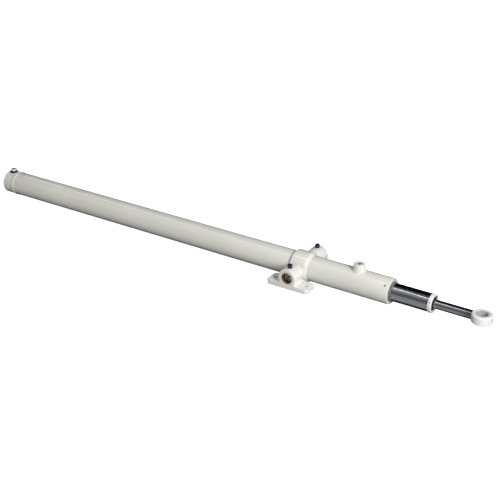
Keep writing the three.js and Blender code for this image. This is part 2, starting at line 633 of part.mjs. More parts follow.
// Rod: solid bar, stepped behind for the piston and nut, fish-mouthed in front for the eye.
const rodBar = turned([
  [ROD_REAR_X, 0],
  [ROD_REAR_X, ROD_SPIGOT_R - ROD_SPIGOT_EDGE],
  [ROD_REAR_X + ROD_SPIGOT_EDGE, ROD_SPIGOT_R],
  [ROD_SHOULDER_X, ROD_SPIGOT_R],
  [ROD_SHOULDER_X, ROD_R],
  [EYE_X - ROD_IN_EYE, ROD_R],
  [EYE_X - ROD_IN_EYE, 0],
], 'x', SMALL_ROUND);
const eyeClearance = bar(EYE_R + GAP, -EYE_CUT_HALF, EYE_CUT_HALF, 'z', EYE_ROUND)
  .translate(EYE_X, 0, 0);
add('rod', cut(rodBar, eyeClearance), CHROME, 1, 0.15);
const rodPistonFrontX = ROD_SHOULDER_X - GAP;
const rodPistonRearX = rodPistonFrontX - ROD_PISTON_LENGTH;
add('rod_piston', turned([
  [rodPistonRearX, ROD_SPIGOT_R + GAP],
  [rodPistonFrontX, ROD_SPIGOT_R + GAP],
  [rodPistonFrontX, ROD_PISTON_R],
  ...groove(ROD_SEAL, ROD_PISTON_R).reverse(),
  ...groove(ROD_GUIDE, ROD_PISTON_R).reverse(),
  [rodPistonRearX, ROD_PISTON_R],
], 'x', SMALL_ROUND), STEEL, 0.8, 0.4);
add('rod_piston_seal', ringOnShaft(ROD_SEAL, SLEEVE_BORE_R, SMALL_ROUND), RUBBER, 0, 0.7);
add('rod_piston_guide', ringOnShaft(ROD_GUIDE, SLEEVE_BORE_R, SMALL_ROUND), BEARING_TAPE, 0, 0.6);
const nutFrontX = rodPistonRearX - GAP;
const nut = hexBar(ROD_NUT_AF, nutFrontX - ROD_NUT_LENGTH, nutFrontX, 'x');
const nutBore = bar(ROD_SPIGOT_R + GAP, ROD_REAR_X - 2 * CUT_PAST, ROD_SHOULDER_X, 'x', SMALL_ROUND);
add('rod_nut', cut(nut, nutBore), ZINC, 0.9, 0.35);

// Rod eye: upright ring with chamfered rims, and the steel bush pressed in it.
add('rod_eye', turned([
  [-EYE_HALF, EYE_SEAT_R],
  [EYE_HALF, EYE_SEAT_R],
  [EYE_HALF, EYE_R - EYE_EDGE],
  [EYE_HALF - EYE_EDGE, EYE_R],
  [-EYE_HALF + EYE_EDGE, EYE_R],
  [-EYE_HALF, EYE_R - EYE_EDGE],
], 'z', EYE_ROUND).translate(EYE_X, 0, 0), PAINT_BRIGHT);
add('rod_eye_bush', turned([
  [-EYE_BUSH_HALF, EYE_BORE_R + EYE_BUSH_EDGE],
  [-EYE_BUSH_HALF + EYE_BUSH_EDGE, EYE_BORE_R],
  [EYE_BUSH_HALF - EYE_BUSH_EDGE, EYE_BORE_R],
  [EYE_BUSH_HALF, EYE_BORE_R + EYE_BUSH_EDGE],
  [EYE_BUSH_HALF, EYE_SEAT_R - GAP],
  [-EYE_BUSH_HALF, EYE_SEAT_R - GAP],
], 'z').translate(EYE_X, 0, 0), ZINC, 0.7, 0.35);

export default actuator;
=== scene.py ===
"""Looks of the linear actuator: fine meshes, materials, floor, lights and camera.

Everything is in metres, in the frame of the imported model: +X runs along the cylinder towards the
rod eye, +Y along the trunnion pins towards the far block, +Z is up, and the origin is where the
two axes cross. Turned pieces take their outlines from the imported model's own sections, and the
other pieces take their places and main sizes from its boxes.
"""

import json
import math
from collections import Counter, defaultdict

import bmesh
import bpy
from mathutils import Matrix, Vector


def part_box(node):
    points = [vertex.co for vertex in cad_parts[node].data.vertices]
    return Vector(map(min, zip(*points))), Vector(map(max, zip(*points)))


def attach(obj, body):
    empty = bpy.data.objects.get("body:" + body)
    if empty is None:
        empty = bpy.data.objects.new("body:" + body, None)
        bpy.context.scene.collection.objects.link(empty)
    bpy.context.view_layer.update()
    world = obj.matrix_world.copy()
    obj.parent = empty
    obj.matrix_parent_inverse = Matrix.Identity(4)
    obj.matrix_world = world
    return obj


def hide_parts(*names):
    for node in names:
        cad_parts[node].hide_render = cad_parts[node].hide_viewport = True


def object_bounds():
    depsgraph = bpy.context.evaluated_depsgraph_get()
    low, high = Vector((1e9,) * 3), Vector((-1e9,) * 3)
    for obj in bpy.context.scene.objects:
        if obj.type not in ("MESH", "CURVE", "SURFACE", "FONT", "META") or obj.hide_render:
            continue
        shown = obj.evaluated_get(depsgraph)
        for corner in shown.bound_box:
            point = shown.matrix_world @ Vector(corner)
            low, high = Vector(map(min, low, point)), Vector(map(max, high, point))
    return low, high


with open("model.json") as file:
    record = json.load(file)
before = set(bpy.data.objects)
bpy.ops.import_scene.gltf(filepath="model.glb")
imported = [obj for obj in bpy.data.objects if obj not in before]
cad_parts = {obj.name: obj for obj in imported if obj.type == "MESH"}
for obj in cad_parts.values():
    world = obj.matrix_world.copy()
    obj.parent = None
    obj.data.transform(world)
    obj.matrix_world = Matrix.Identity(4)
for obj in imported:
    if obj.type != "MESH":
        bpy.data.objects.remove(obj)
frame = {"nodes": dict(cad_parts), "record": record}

CAD_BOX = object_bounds()
BEHAVIOUR = frame["record"]["behaviour"]
BODY_OF = {node: body for body, nodes in BEHAVIOUR["bodies"].items() for node in nodes}
SLOT_OF = {part["node"]: part["material_slot"] for part in frame["record"]["subparts"]}
OPENING = {opening["name"]: opening["box_m"] for opening in frame["record"]["physics"]["openings"]}

MM = 0.001
GAP = 0.3 * MM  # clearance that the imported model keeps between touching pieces
SEGMENTS = 192  # facets round large turned pieces
SMALL_SEGMENTS = 96  # facets round small turned pieces
TINY_SEGMENTS = 48  # facets round the smallest turned pieces
BARREL_STEP = 60 * MM  # longest quad along the tubes
CORNER_STEPS = 4  # facets on an eased corner
STRAIGHT_ENOUGH = 12  # degrees; corners flatter than this are left as they are
SHARP_EDGE = 32  # degrees; edges sharper than this are shaded as real edges
CORNER_SHARE = 0.42  # most of a side's length that easing one of its corners takes
CUTTER_FLARE = 4 * MM  # how far a flared cutter runs past the face it cuts
ON_AXIS = 1e-5  # metres; points nearer a piece's axis than this are on it
SAME_PLANE = 0.3  # degrees round the axis; an edge that turns less than this is in a half-plane


# ---- places and sizes read from the frame -----------------------------------

def centre_of(node):
    low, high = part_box(node)
    return (low + high) / 2


def section(node, axis="X", centre=(0, 0, 0)):
    """Outline of a turned node: its (along, radius) corners in order, and whether it closes on itself.

    The outline is the set of mesh edges that most half-planes through the axis share, so holes
    drilled across the piece don't disturb it. An open outline starts on the axis.
    """
    along = "XYZ".index(axis)
    u, v = [i for i in range(3) if i != along]
    mesh = frame["nodes"][node].data
    corners = []
    for vertex in mesh.vertices:
        place = vertex.co - Vector(centre)
        angle = math.degrees(math.atan2(place[v], place[u])) % 360
        corners.append((round(place[along], 6), round(math.hypot(place[u], place[v]), 6), angle))
    half_planes = defaultdict(set)
    for edge in mesh.edges:
        a, b = (corners[i] for i in edge.vertices)
        turn = abs((a[2] - b[2] + 180) % 360 - 180)
        if a[:2] != b[:2] and (turn < SAME_PLANE or min(a[1], b[1]) < ON_AXIS):
            outer = max(a, b, key=lambda corner: corner[1])
            half_planes[round(outer[2]) % 360].add(frozenset((a[:2], b[:2])))
    edges = Counter(frozenset(found) for found in half_planes.values()).most_common(1)[0][0]
    neighbours = defaultdict(list)
    for a, b in sorted(sorted(edge) for edge in edges):
        neighbours[a].append(b)
        neighbours[b].append(a)
    ends = sorted((p for p, near in neighbours.items() if len(near) == 1), key=lambda p: (p[1], p[0]))
    walk = [ends[0] if ends else min(neighbours)]
    while True:
        onward = [p for p in neighbours[walk[-1]] if p not in walk]
        if not onward:
            return walk, not ends
        walk.append(onward[0])


# ---- mesh helpers -----------------------------------------------------------

def rounded(outline, radius, closed):
    """The outline with its corners eased into small curves."""
    eased = []
    last = len(outline) - 1
    for i, corner in enumerate(outline):
        here = Vector(corner)
        back = Vector(outline[i - 1]) - here
        ahead = Vector(outline[0 if i == last else i + 1]) - here
        is_end = not closed and i in (0, last)
        if is_end or math.degrees(back.angle(-ahead)) < STRAIGHT_ENOUGH:
            eased.append(corner)
            continue
        reach = min(radius, CORNER_SHARE * back.length, CORNER_SHARE * ahead.length)
        start = here + back.normalized() * reach
        end = here + ahead.normalized() * reach
        for k in range(CORNER_STEPS + 1):
            t = k / CORNER_STEPS
            eased.append(tuple((1 - t) ** 2 * start + 2 * t * (1 - t) * here + t ** 2 * end))
    return eased


def stepped(outline, closed, longest):
    """The outline with long straight stretches split, so that no quad is much longer than that."""
    fine = []
    for i, start in enumerate(outline):
        fine.append(start)
        if i == len(outline) - 1 and not closed:
            break
        a = Vector(start)
        b = Vector(outline[(i + 1) % len(outline)])
        pieces = math.ceil((b - a).length / longest)
        fine += [tuple(a.lerp(b, k / pieces)) for k in range(1, pieces)]
    return fine


def placed(axis, centre, along, radius, angle):
    """Point at an angle round an axis: from +Y towards +Z round X, and from +X round Y and Z."""
    across = (radius * math.cos(angle), radius * math.sin(angle))
    point = {
        "X": (along, across[0], across[1]),
        "Y": (across[0], along, across[1]),
        "Z": (across[0], across[1], along),
    }[axis]
    return Vector(point) + Vector(centre)


def turned(name, outline, closed, axis="X", centre=(0, 0, 0), segments=SEGMENTS, swell=None):
    """Piece made by turning an outline about an axis; swell adds to the radius at (angle, index)."""
    bm = bmesh.new()
    rings = []
    for index, (along, radius) in enumerate(outline):
        if radius < ON_AXIS:
            rings.append([bm.verts.new(placed(axis, centre, along, 0, 0))] * segments)
            continue
        ring = []
        for k in range(segments):
            angle = math.tau * k / segments
            extra = swell(angle, index) if swell else 0
            ring.append(bm.verts.new(placed(axis, centre, along, radius + extra, angle)))
        rings.append(ring)
    pairs = list(zip(rings, rings[1:]))
    if closed:
        pairs.append((rings[-1], rings[0]))
    for inner, outer in pairs:
        for k in range(segments):
            n = (k + 1) % segments
            corners = list(dict.fromkeys([inner[k], inner[n], outer[n], outer[k]]))
            if len(corners) > 2:
                bm.faces.new(corners)
    return piece_from(name, bm)


def piece_from(name, bm):
    """Object of a closed bmesh, faces outwards, smooth but for its real edges."""
    bmesh.ops.recalc_face_normals(bm, faces=bm.faces)
    mesh = bpy.data.meshes.new(name)
    bm.to_mesh(mesh)
    bm.free()
    piece = bpy.data.objects.new(name, mesh)
    bpy.context.scene.collection.objects.link(piece)
    smooth(piece)
    return piece


def smooth(piece):
    piece.data.polygons.foreach_set("use_smooth", [True] * len(piece.data.polygons))
    piece.data.set_sharp_from_angle(angle=math.radians(SHARP_EDGE))


def apply_modifiers(piece):
    """Turns the piece's modifiers into mesh."""
    graph = bpy.context.evaluated_depsgraph_get()
    mesh = bpy.data.meshes.new_from_object(piece.evaluated_get(graph))
    piece.modifiers.clear()
    piece.data = mesh
    smooth(piece)


def carve(piece, *tools, operation="DIFFERENCE"):
    """Takes the tools out of the piece, or joins or keeps what they share, and deletes them."""
    for tool in tools:
        modifier = piece.modifiers.new("carve", "BOOLEAN")
        modifier.operation = operation
        modifier.solver = "EXACT"
        modifier.object = tool
    apply_modifiers(piece)
    for tool in tools:
        bpy.data.objects.remove(tool)
    return piece


def drill(axis, centre, radius, start, end, mouth=0.0, segments=SMALL_SEGMENTS):
    """Cutter for a round hole, or a hexagonal one with six segments, flared at its mouths."""
    if mouth:
        flare_r = radius + mouth + CUTTER_FLARE
        outline = [
            (start - CUTTER_FLARE, 0),
            (start - CUTTER_FLARE, flare_r),
            (start + mouth, radius),
            (end - mouth, radius),
            (end + CUTTER_FLARE, flare_r),
            (end + CUTTER_FLARE, 0),
        ]
    else:
        outline = [(start, 0), (start, radius), (end, radius), (end, 0)]
    return turned("tool", outline, False, axis, centre, segments)


def hexagon_bar(axis, centre, corner, start, end, face_r, edge, segments=SEGMENTS):
    """Hexagon bar, its ends chamfered from the corners down to a round face."""
    bar = drill(axis, centre, corner, start, end, segments=6)
    limit = turned("tool", [
        (start, 0),
        (start, face_r),
        (start + edge, corner),
        (end - edge, corner),
        (end, face_r),
        (end, 0),
    ], False, axis, centre, segments)
    return carve(bar, limit, operation="INTERSECT")


def look(piece, node):
    """The piece stands for a CAD node: it rides on its body and takes its finish."""
    slot = SLOT_OF[node]
    piece.name = f"{node}_look"
    piece.data.name = piece.name
    piece.data.materials.clear()
    piece.data.materials.append(MATERIALS[slot])
    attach(piece, BODY_OF[node])
    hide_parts(node)


def extra(piece, name, body, slot):
    """A small piece with no CAD node of its own, such as a weld bead."""
    piece.name = name
    piece.data.name = name
    piece.data.materials.append(MATERIALS[slot])
    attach(piece, body)


# ---- materials --------------------------------------------------------------

class Shading:
    """A material being made: its node tree, and short ways to add to it."""

    def __init__(self, name):
        self.material = bpy.data.materials.new(name)
        self.material.use_nodes = True
        self.tree = self.material.node_tree
        self.shader = self.tree.nodes["Principled BSDF"]
        self.place = self.node("ShaderNodeTexCoord").outputs["Object"]

    def node(self, kind, **settings):
        node = self.tree.nodes.new(kind)
        for key, value in settings.items():
            setattr(node, key, value)
        return node

    def link(self, source, target):
        self.tree.links.new(source, target)

    def fixed(self, **values):
        """Values that are the same all over, set on the shader itself."""
        for key, value in values.items():
            self.shader.inputs[key.replace("_", " ")].default_value = value

    def stretched(self, scale):
        mapping = self.node("ShaderNodeMapping")
        mapping.inputs["Scale"].default_value = scale
        self.link(self.place, mapping.inputs["Vector"])
        return mapping.outputs["Vector"]

    def noise(self, scale, detail=4.0, rough=0.5, stretch=None, distortion=0.0):
        """Noise from 0 to 1, with scale features to the metre."""
        noise = self.node("ShaderNodeTexNoise")
        noise.inputs["Scale"].default_value = scale
        noise.inputs["Detail"].default_value = detail
        noise.inputs["Roughness"].default_value = rough
        noise.inputs["Distortion"].default_value = distortion
        self.link(self.stretched(stretch) if stretch else self.place, noise.inputs["Vector"])
        return noise.outputs["Fac"]

    def spread(self, value, low, high, start=0.3, end=0.7):
        """The value from start to end brought to low to high."""
        spread = self.node("ShaderNodeMapRange")
        for key, number in (("From Min", start), ("From Max", end), ("To Min", low), ("To Max", high)):
            spread.inputs[key].default_value = number
        self.link(value, spread.inputs["Value"])
        return spread.outputs["Result"]

    def blend(self, factor, first, second):
        """Mix of two colours, each a tuple or an output of another node."""
        mix = self.node("ShaderNodeMix", data_type="RGBA")
        self.link(factor, mix.inputs["Factor"])
        for socket, colour in ((mix.inputs["A"], first), (mix.inputs["B"], second)):
            if isinstance(colour, tuple):
                socket.default_value = (*colour, 1)
            else:
                self.link(colour, socket)
        return mix.outputs["Result"]

    def colour(self, output):
        self.link(output, self.shader.inputs["Base Color"])

    def roughness(self, output):
        self.link(output, self.shader.inputs["Roughness"])

    def bump(self, *layers):
        """Bumps one over another, each a (height output, depth in metres)."""
        normal = None
        for height, depth in layers:
            bump = self.node("ShaderNodeBump")
            bump.inputs["Distance"].default_value = depth
            self.link(height, bump.inputs["Height"])
            if normal:
                self.link(normal, bump.inputs["Normal"])
            normal = bump.outputs["Normal"]
        self.link(normal, self.shader.inputs["Normal"])

    def along_x(self, start, end):
        """0 behind start and 1 past end, along the cylinder, in the frame of the piece at rest."""
        split = self.node("ShaderNodeSeparateXYZ")
        self.link(self.place, split.inputs["Vector"])
        return self.spread(split.outputs["X"], 0, 1, start, end)

    def end_face(self, axis):
        """1 on faces square to an axis, which the spray gun reaches, and 0 elsewhere."""
        split = self.node("ShaderNodeSeparateXYZ")
        self.link(self.node("ShaderNodeTexCoord").outputs["Normal"], split.inputs["Vector"])
        size = self.node("ShaderNodeMath", operation="ABSOLUTE")
        self.link(split.outputs[axis], size.inputs[0])
        return self.spread(size.outputs["Value"], 0, 1, 0.6, 0.8)

    def crevices(self, reach):
        """Ambient occlusion, used to paint shade: 1 in the open and less in corners that the rest of
        the object hems in.
        """
        occlusion = self.node("ShaderNodeAmbientOcclusion", samples=8)
        occlusion.inputs["Distance"].default_value = reach
        return occlusion.outputs["AO"]


FRESH_RUN = 50 * MM  # how far past the barrel the tint of the fresh paint takes to come in


def sprayed_paint(name, light, shade, corner_shade_colour, gloss=1.5, fresh=None):
    """Semi-gloss enamel: faint clouds of tint, orange peel, and painted shade in the corners.

    The collar and the eye, out past the barrel's front, take the fresh tint where one is given.
    """
    s = Shading(name)
    clouds = s.blend(s.spread(s.noise(7, 3), 0, 1), light, shade)
    if fresh:
        barrel_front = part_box("barrel_tube")[1].x
        clouds = s.blend(s.along_x(barrel_front, barrel_front + FRESH_RUN), clouds, fresh)
    specks = s.spread(s.noise(900, 2), 0, 0.35, 0.62, 0.75)
    specked = s.blend(specks, clouds, shade)
    # painted shade: the paint darkens towards the last colour where ambient occlusion finds corners and
    # contact lines
    corner_shade = s.spread(s.crevices(5 * MM), 0.75, 0, 0.25, 0.85)
    s.colour(s.blend(corner_shade, specked, corner_shade_colour))
    s.roughness(s.spread(s.noise(45, 4), 0.34, 0.5))
    s.fixed(Specular_IOR_Level=0.45, Coat_Weight=0.8, Coat_Roughness=0.1, Coat_IOR=gloss)
    s.bump((s.noise(420, 2), 0.06 * MM), (s.noise(30, 2), 0.15 * MM))
    return s.material


STAIN_LENGTH = 45 * MM  # of the oil stain on the rod behind its eye
STAIN_END = 8 * MM  # past the eye's rear, where the stain is full


def hard_chrome():
    """Ground and polished chrome, with grinding lines round the bar and a film of oil."""
    s = Shading("hard_chrome")
    film = s.noise(26, 4, 0.6, stretch=(0.35, 1, 1), distortion=0.6)
    streaks = s.noise(150, 3, 0.6, stretch=(0.03, 1, 1))
    clean = s.blend(s.spread(film, 0, 1), (0.503, 0.513, 0.536), (0.603, 0.613, 0.632))
    drawn = s.blend(s.spread(streaks, 0, 0.5, 0.35, 0.65), clean, (0.362, 0.37, 0.382))
    eye_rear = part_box("rod_eye")[0].x
    near_eye = s.along_x(eye_rear - STAIN_LENGTH, eye_rear + STAIN_END)
    patchy = s.node("ShaderNodeMath", operation="MULTIPLY")
    s.link(near_eye, patchy.inputs[0])
    s.link(s.spread(s.noise(90, 4, 0.6), 0.5, 1), patchy.inputs[1])
    s.colour(s.blend(patchy.outputs["Value"], drawn, (0.10, 0.098, 0.075)))
    s.roughness(s.spread(film, 0.1, 0.24))
    s.fixed(Metallic=1.0)
    lines = s.noise(2600, 2, stretch=(1, 0.02, 0.02))
    waves = s.noise(14, 2, stretch=(0.5, 1, 1))
    s.bump((lines, 0.004 * MM), (waves, 0.12 * MM))
    return s.material


def finish_metal(s, patches, tone, corner_shade_colour, reach, rough):
    """Last layers of a bare metal: painted shade in its corners, patches of dullness and fine tool
    lines.
    """
    # painted shade: the metal darkens towards the given colour where ambient occlusion finds corners
    corner_shade = s.spread(s.crevices(reach), 0.9, 0, 0.2, 0.8)
    s.colour(s.blend(corner_shade, tone, corner_shade_colour))
    s.roughness(s.spread(patches, *rough))
    s.bump((s.noise(1500, 2), 0.01 * MM))
    return s.material


def blackened_steel():
    """Blackened screw steel: patches of dullness, and painted shade in its corners."""
    s = Shading("black_steel")
    patches = s.noise(110, 5, 0.6)
    tone = s.blend(s.spread(patches, 0, 1), (0.20, 0.20, 0.205), (0.10, 0.10, 0.10))
    s.fixed(Metallic=0.7)
    # the near-black colour is the painted shade of its corners
    return finish_metal(s, patches, tone, (0.012, 0.012, 0.012), 3 * MM, (0.25, 0.45))


def pin_steel():
    """Oily steel of the pins and pistons, the pins' ends mottled by paint sprayed into the bores, with
    painted shade in the corners.
    """
    s = Shading("steel")
    patches = s.noise(110, 5, 0.6)
    bare = s.blend(s.spread(patches, 0, 1), (0.30, 0.27, 0.25), (0.12, 0.10, 0.085))
    mottled = s.node("ShaderNodeMath", operation="MULTIPLY")
    s.link(s.end_face("Y"), mottled.inputs[0])
    s.link(s.spread(s.noise(90, 4, 0.6, distortion=0.8), 0, 1, 0.42, 0.56), mottled.inputs[1])
    tone = s.blend(mottled.outputs["Value"], bare, (0.74, 0.62, 0.53))
    s.link(s.spread(mottled.outputs["Value"], 1, 0, 0, 1), s.shader.inputs["Metallic"])
    # the dark colour is the painted shade of the corners and of the pin ends down the bores
    return finish_metal(s, patches, tone, (0.014, 0.012, 0.010), 8 * MM, (0.25, 0.45))


def zinc_plate():
    """Pale zinc plate, greyer on the eye's bush, its level faces oversprayed, and painted shade in its
    corners.
    """
    s = Shading("zinc")
    patches = s.noise(110, 5, 0.6)
    plate = s.blend(s.spread(patches, 0, 1), (0.92, 0.925, 0.93), (0.80, 0.805, 0.81))
    # darker grey zinc, used past the eye's rear, where only the eye's bush lies
    eye_bush_grey = s.blend(s.spread(patches, 0, 1), (0.60, 0.60, 0.61), (0.46, 0.46, 0.47))
    eye_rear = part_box("rod_eye")[0].x
    at_eye = s.along_x(eye_rear - 1 * MM, eye_rear)
    tone = s.blend(s.end_face("Z"), s.blend(at_eye, plate, eye_bush_grey), (0.80, 0.80, 0.785))
    s.fixed(Metallic=0.3)
    # the dark grey colour is the painted shade of the corners
    return finish_metal(s, patches, tone, (0.08, 0.08, 0.08), 6 * MM, (0.3, 0.46))


def sealing_rubber(name, black, bloomed):
    """Moulded rubber with a patchy bloom on its surface."""
    s = Shading(name)
    bloom = s.noise(160, 5, 0.6)
    s.colour(s.blend(s.spread(bloom, 0, 1), black, bloomed))
    s.roughness(s.spread(bloom, 0.42, 0.62))
    s.fixed(Specular_IOR_Level=0.4)
    s.bump((s.noise(2200, 3), 0.02 * MM))
    return s.material


def bearing_tape():
    """Filled phenolic tape, with its woven grain."""
    s = Shading("bearing_tape")
    weave = s.node("ShaderNodeTexWave", wave_type="BANDS", bands_direction="DIAGONAL")
    weave.inputs["Scale"].default_value = 420
    weave.inputs["Distortion"].default_value = 1.5
    s.link(s.place, weave.inputs["Vector"])
    s.colour(s.blend(weave.outputs["Fac"], (0.12, 0.075, 0.04), (0.17, 0.11, 0.06)))
    s.roughness(s.spread(s.noise(200), 0.5, 0.7))
    s.bump((weave.outputs["Fac"], 0.05 * MM))
    return s.material


def greased_bronze():
    """Bearing bronze, brown with old grease and bright where the pin has wiped it, with painted shade
    down its bore.
    """
    s = Shading("greased_bronze")
    wiped = s.noise(120, 5, 0.65, stretch=(1, 0.4, 1), distortion=0.5)
    metal = s.blend(s.spread(wiped, 0, 1), (0.26, 0.13, 0.07), (0.55, 0.34, 0.23))
    # painted shade: the bronze darkens to near black where ambient occlusion finds the bore and corners
    corner_shade = s.spread(s.crevices(14 * MM), 0.95, 0, 0.3, 0.9)
    sprayed = s.end_face("Y")
    s.colour(s.blend(sprayed, s.blend(corner_shade, metal, (0.022, 0.010, 0.006)), (0.66, 0.62, 0.56)))
    s.link(s.spread(sprayed, 0.85, 0, 0, 1), s.shader.inputs["Metallic"])
    s.roughness(s.spread(wiped, 0.3, 0.5))
    s.bump((s.noise(1200, 2, stretch=(0.05, 1, 0.05)), 0.02 * MM))
    return s.material


def cap_plastic():
    """Soft blue plastic with a moulded grain and a few scuffs."""
    s = Shading("cap_plastic")
    scuffs = s.spread(s.noise(500, 4, 0.7), 0, 0.5, 0.58, 0.75)
    s.colour(s.blend(scuffs, (0.012, 0.013, 0.075), (0.05, 0.055, 0.16)))
    s.roughness(s.spread(s.noise(300), 0.35, 0.55))
    s.bump((s.noise(3000, 2), 0.02 * MM))
    return s.material


# For the two paints, the last colour is the painted shade that darkens their corners.
MATERIALS = {
    "paint": sprayed_paint(
        "paint",
        light=(0.745, 0.742, 0.705),
        shade=(0.70, 0.695, 0.655),
        corner_shade_colour=(0.20, 0.19, 0.15),
    ),
    "paint_bright": sprayed_paint(
        "paint_bright",
        light=(0.785, 0.785, 0.765),
        shade=(0.745, 0.745, 0.72),
        corner_shade_colour=(0.16, 0.15, 0.13),
        gloss=1.9,
        fresh=(0.79, 0.795, 0.815),
    ),
    "chrome": hard_chrome(),
    "steel": pin_steel(),
    "zinc": zinc_plate(),
    "black_steel": blackened_steel(),
    "rubber": sealing_rubber("rubber", (0.010, 0.010, 0.011), (0.022, 0.022, 0.022)),
    "dusty_rubber": sealing_rubber("dusty_rubber", (0.095, 0.095, 0.087), (0.205, 0.205, 0.19)),
    "bearing_tape": bearing_tape(),
    "bronze": greased_bronze(),
    "cap_plastic": cap_plastic(),
}


# ---- turned pieces that follow the CAD section as it is ---------------------

def turned_look(node, edge, axis="X", centre=(0, 0, 0), segments=SEGMENTS):
    """Fine copy of a turned CAD node, its corners eased by the edge radius."""
    outline, closed = section(node, axis, centre)
    outline = stepped(rounded(outline, edge, closed), closed, BARREL_STEP)
    return turned(node, outline, closed, axis, centre, segments)


def upright(node):
    """Centre line of a piece turned about an upright axis."""
    centre = centre_of(node)
    return (centre.x, centre.y, 0)


def make_plain_turned():
    """Turned nodes, each with its edges eased by this many millimetres."""
    large = {
        "trunnion_ring": 1.2, "gland_guide_ring": 0.3, "gland_oring": 2.6, "gland_seal": 1.2,
        "sleeve_tube": 0.5, "sleeve_piston": 0.5, "sleeve_piston_seal": 1.0, "sleeve_piston_guide": 0.3,
        "gland_head": 0.5, "gland_wiper": 0.9,
    }
    small = {
        "head_oring": 2.1, "head_guide_ring": 0.3, "head_seal": 1.0, "head_wiper": 0.6,
        "rod_piston": 0.5, "rod_piston_seal": 0.9, "rod_piston_guide": 0.3,
    }
    for node, edge in large.items():
        look(turned_look(node, edge * MM), node)
    for node, edge in small.items():
        look(turned_look(node, edge * MM, segments=SMALL_SEGMENTS), node)
    look(turned_look("rod_eye", 1.0 * MM, "Z", upright("rod_eye")), "rod_eye")
    look(turned_look("rod_eye_bush", 0.5 * MM, "Z", upright("rod_eye_bush")), "rod_eye_bush")


# ---- barrel and rear head ---------------------------------------------------

BARREL_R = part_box("barrel_tube")[1].z
LOCK_SCREW_ANGLE = math.radians(135)
LOCK_SCREW_R = 3 * MM
LOCK_SCREW_HOLE_FLOOR = 38 * MM  # from the cylinder's axis
PORT_WAY_R = 6 * MM
PORT_THREAD_R = 9.3 * MM
IN_BORE_Z = 30 * MM  # where upright cutters start, inside the bore
ABOVE_BARREL_Z = 60 * MM  # where they end
SLIP = 0.1 * GAP  # clearance of pieces that are made to bear on each other


def outward(x, angle):
    """Matrix that stands a piece, made along +Z at the origin, on the cylinder's axis at an angle."""
    return Matrix.Translation((x, 0, 0)) @ Matrix.Rotation(angle - math.pi / 2, 4, "X")


def make_barrel():
    piece = turned_look("barrel_tube", 0.8 * MM)
    screw_x = centre_of("gland_lock_screw").x
    hole_r = LOCK_SCREW_R + GAP
    screw_hole = drill("Z", (0, 0, 0), hole_r, LOCK_SCREW_HOLE_FLOOR, BARREL_R, mouth=0.6 * MM)
    screw_hole.data.transform(outward(screw_x, LOCK_SCREW_ANGLE))
    port = centre_of("front_port_boss")
    port_way = drill("Z", (port.x, 0, 0), PORT_WAY_R, IN_BORE_Z, ABOVE_BARREL_Z)
    look(carve(piece, screw_hole, port_way), "barrel_tube")


HEAD_GROOVES = (11 * MM, 21 * MM, 31 * MM)  # from the head's rear face
HEAD_GROOVE_WIDTH = 2.6 * MM
HEAD_GROOVE_DEPTH = 1.1 * MM
SPOTFACE_R = 16.5 * MM
HEAD_WAY_Z = 18 * MM
HEAD_WAY_FLOOR_Z = 14 * MM
HEAD_THREAD_FLOOR_Z = 28 * MM
HEAD_WAY_PAST = 5 * MM  # how far the oil way's drill runs past the head's front


def make_rear_head():
    """Plug with shallow turned grooves, a spotface on top and an oil way into the barrel."""
    outline, closed = section("rear_head")
    if outline[0][0] > outline[-1][0]:
        outline.reverse()
    rear = outline[0][0]
    top = [i for i, (along, radius) in enumerate(outline) if radius == max(r for _, r in outline)]
    grooves = []
    for distance in HEAD_GROOVES:
        start = rear + distance
        grooves += [
            (start, BARREL_R),
            (start + 0.25 * HEAD_GROOVE_WIDTH, BARREL_R - HEAD_GROOVE_DEPTH),
            (start + 0.75 * HEAD_GROOVE_WIDTH, BARREL_R - HEAD_GROOVE_DEPTH),
            (start + HEAD_GROOVE_WIDTH, BARREL_R),
        ]
    outline = outline[:top[0] + 1] + grooves + outline[top[-1]:]
    piece = turned("rear_head", rounded(outline, 0.8 * MM, closed), closed)
    port = centre_of("rear_port_plug")
    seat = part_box("rear_port_seal")[0].z - GAP
    at_port = (port.x, 0, 0)
    look(carve(
        piece,
        drill("Z", at_port, SPOTFACE_R, seat, ABOVE_BARREL_Z),
        drill("Z", at_port, PORT_THREAD_R, HEAD_THREAD_FLOOR_Z, ABOVE_BARREL_Z),
        drill("Z", at_port, PORT_WAY_R, HEAD_WAY_FLOOR_Z, IN_BORE_Z),
        drill("X", (0, 0, HEAD_WAY_Z), PORT_WAY_R, port.x - PORT_WAY_R, outline[-1][0] + HEAD_WAY_PAST),
    ), "rear_head")


# ---- weld beads -------------------------------------------------------------

RIPPLE_PITCH = 3.4 * MM
RIPPLE_HEIGHT = 0.35 * MM
RIPPLE_SEGMENTS = 8  # facets to each ripple
WELD_ROOT = 0.5 * MM  # how far a bead sinks into what it joins
WELD_DEPTH = 4 * MM  # of the V that the head's butt weld fills
WELD_POINTS = 13  # across the face of a bead


def ripple(angle, across, count):
    """Height of the fish-scale ripples of a bead; across runs from -1 to 1 over its width."""
    lag = 1.4 * (1 - across ** 2)
    wave = 0.5 + 0.5 * math.sin(count * angle + lag)
    wander = 0.25 * math.sin(3 * angle + 1) + 0.15 * math.sin(7 * angle)
    return RIPPLE_HEIGHT * (1 - across ** 2) * (wave ** 0.6 + wander)


def round_weld(node, outline, crown_points):
    """Bead round the cylinder; crown_points is how many points, first in the outline, are its face."""
    count = round(math.tau * BARREL_R / RIPPLE_PITCH)

    def swell(angle, index):
        if index >= crown_points:
            return 0
        return ripple(angle, 2 * index / (crown_points - 1) - 1, count)

    look(turned(node, outline, True, segments=count * RIPPLE_SEGMENTS, swell=swell), node)


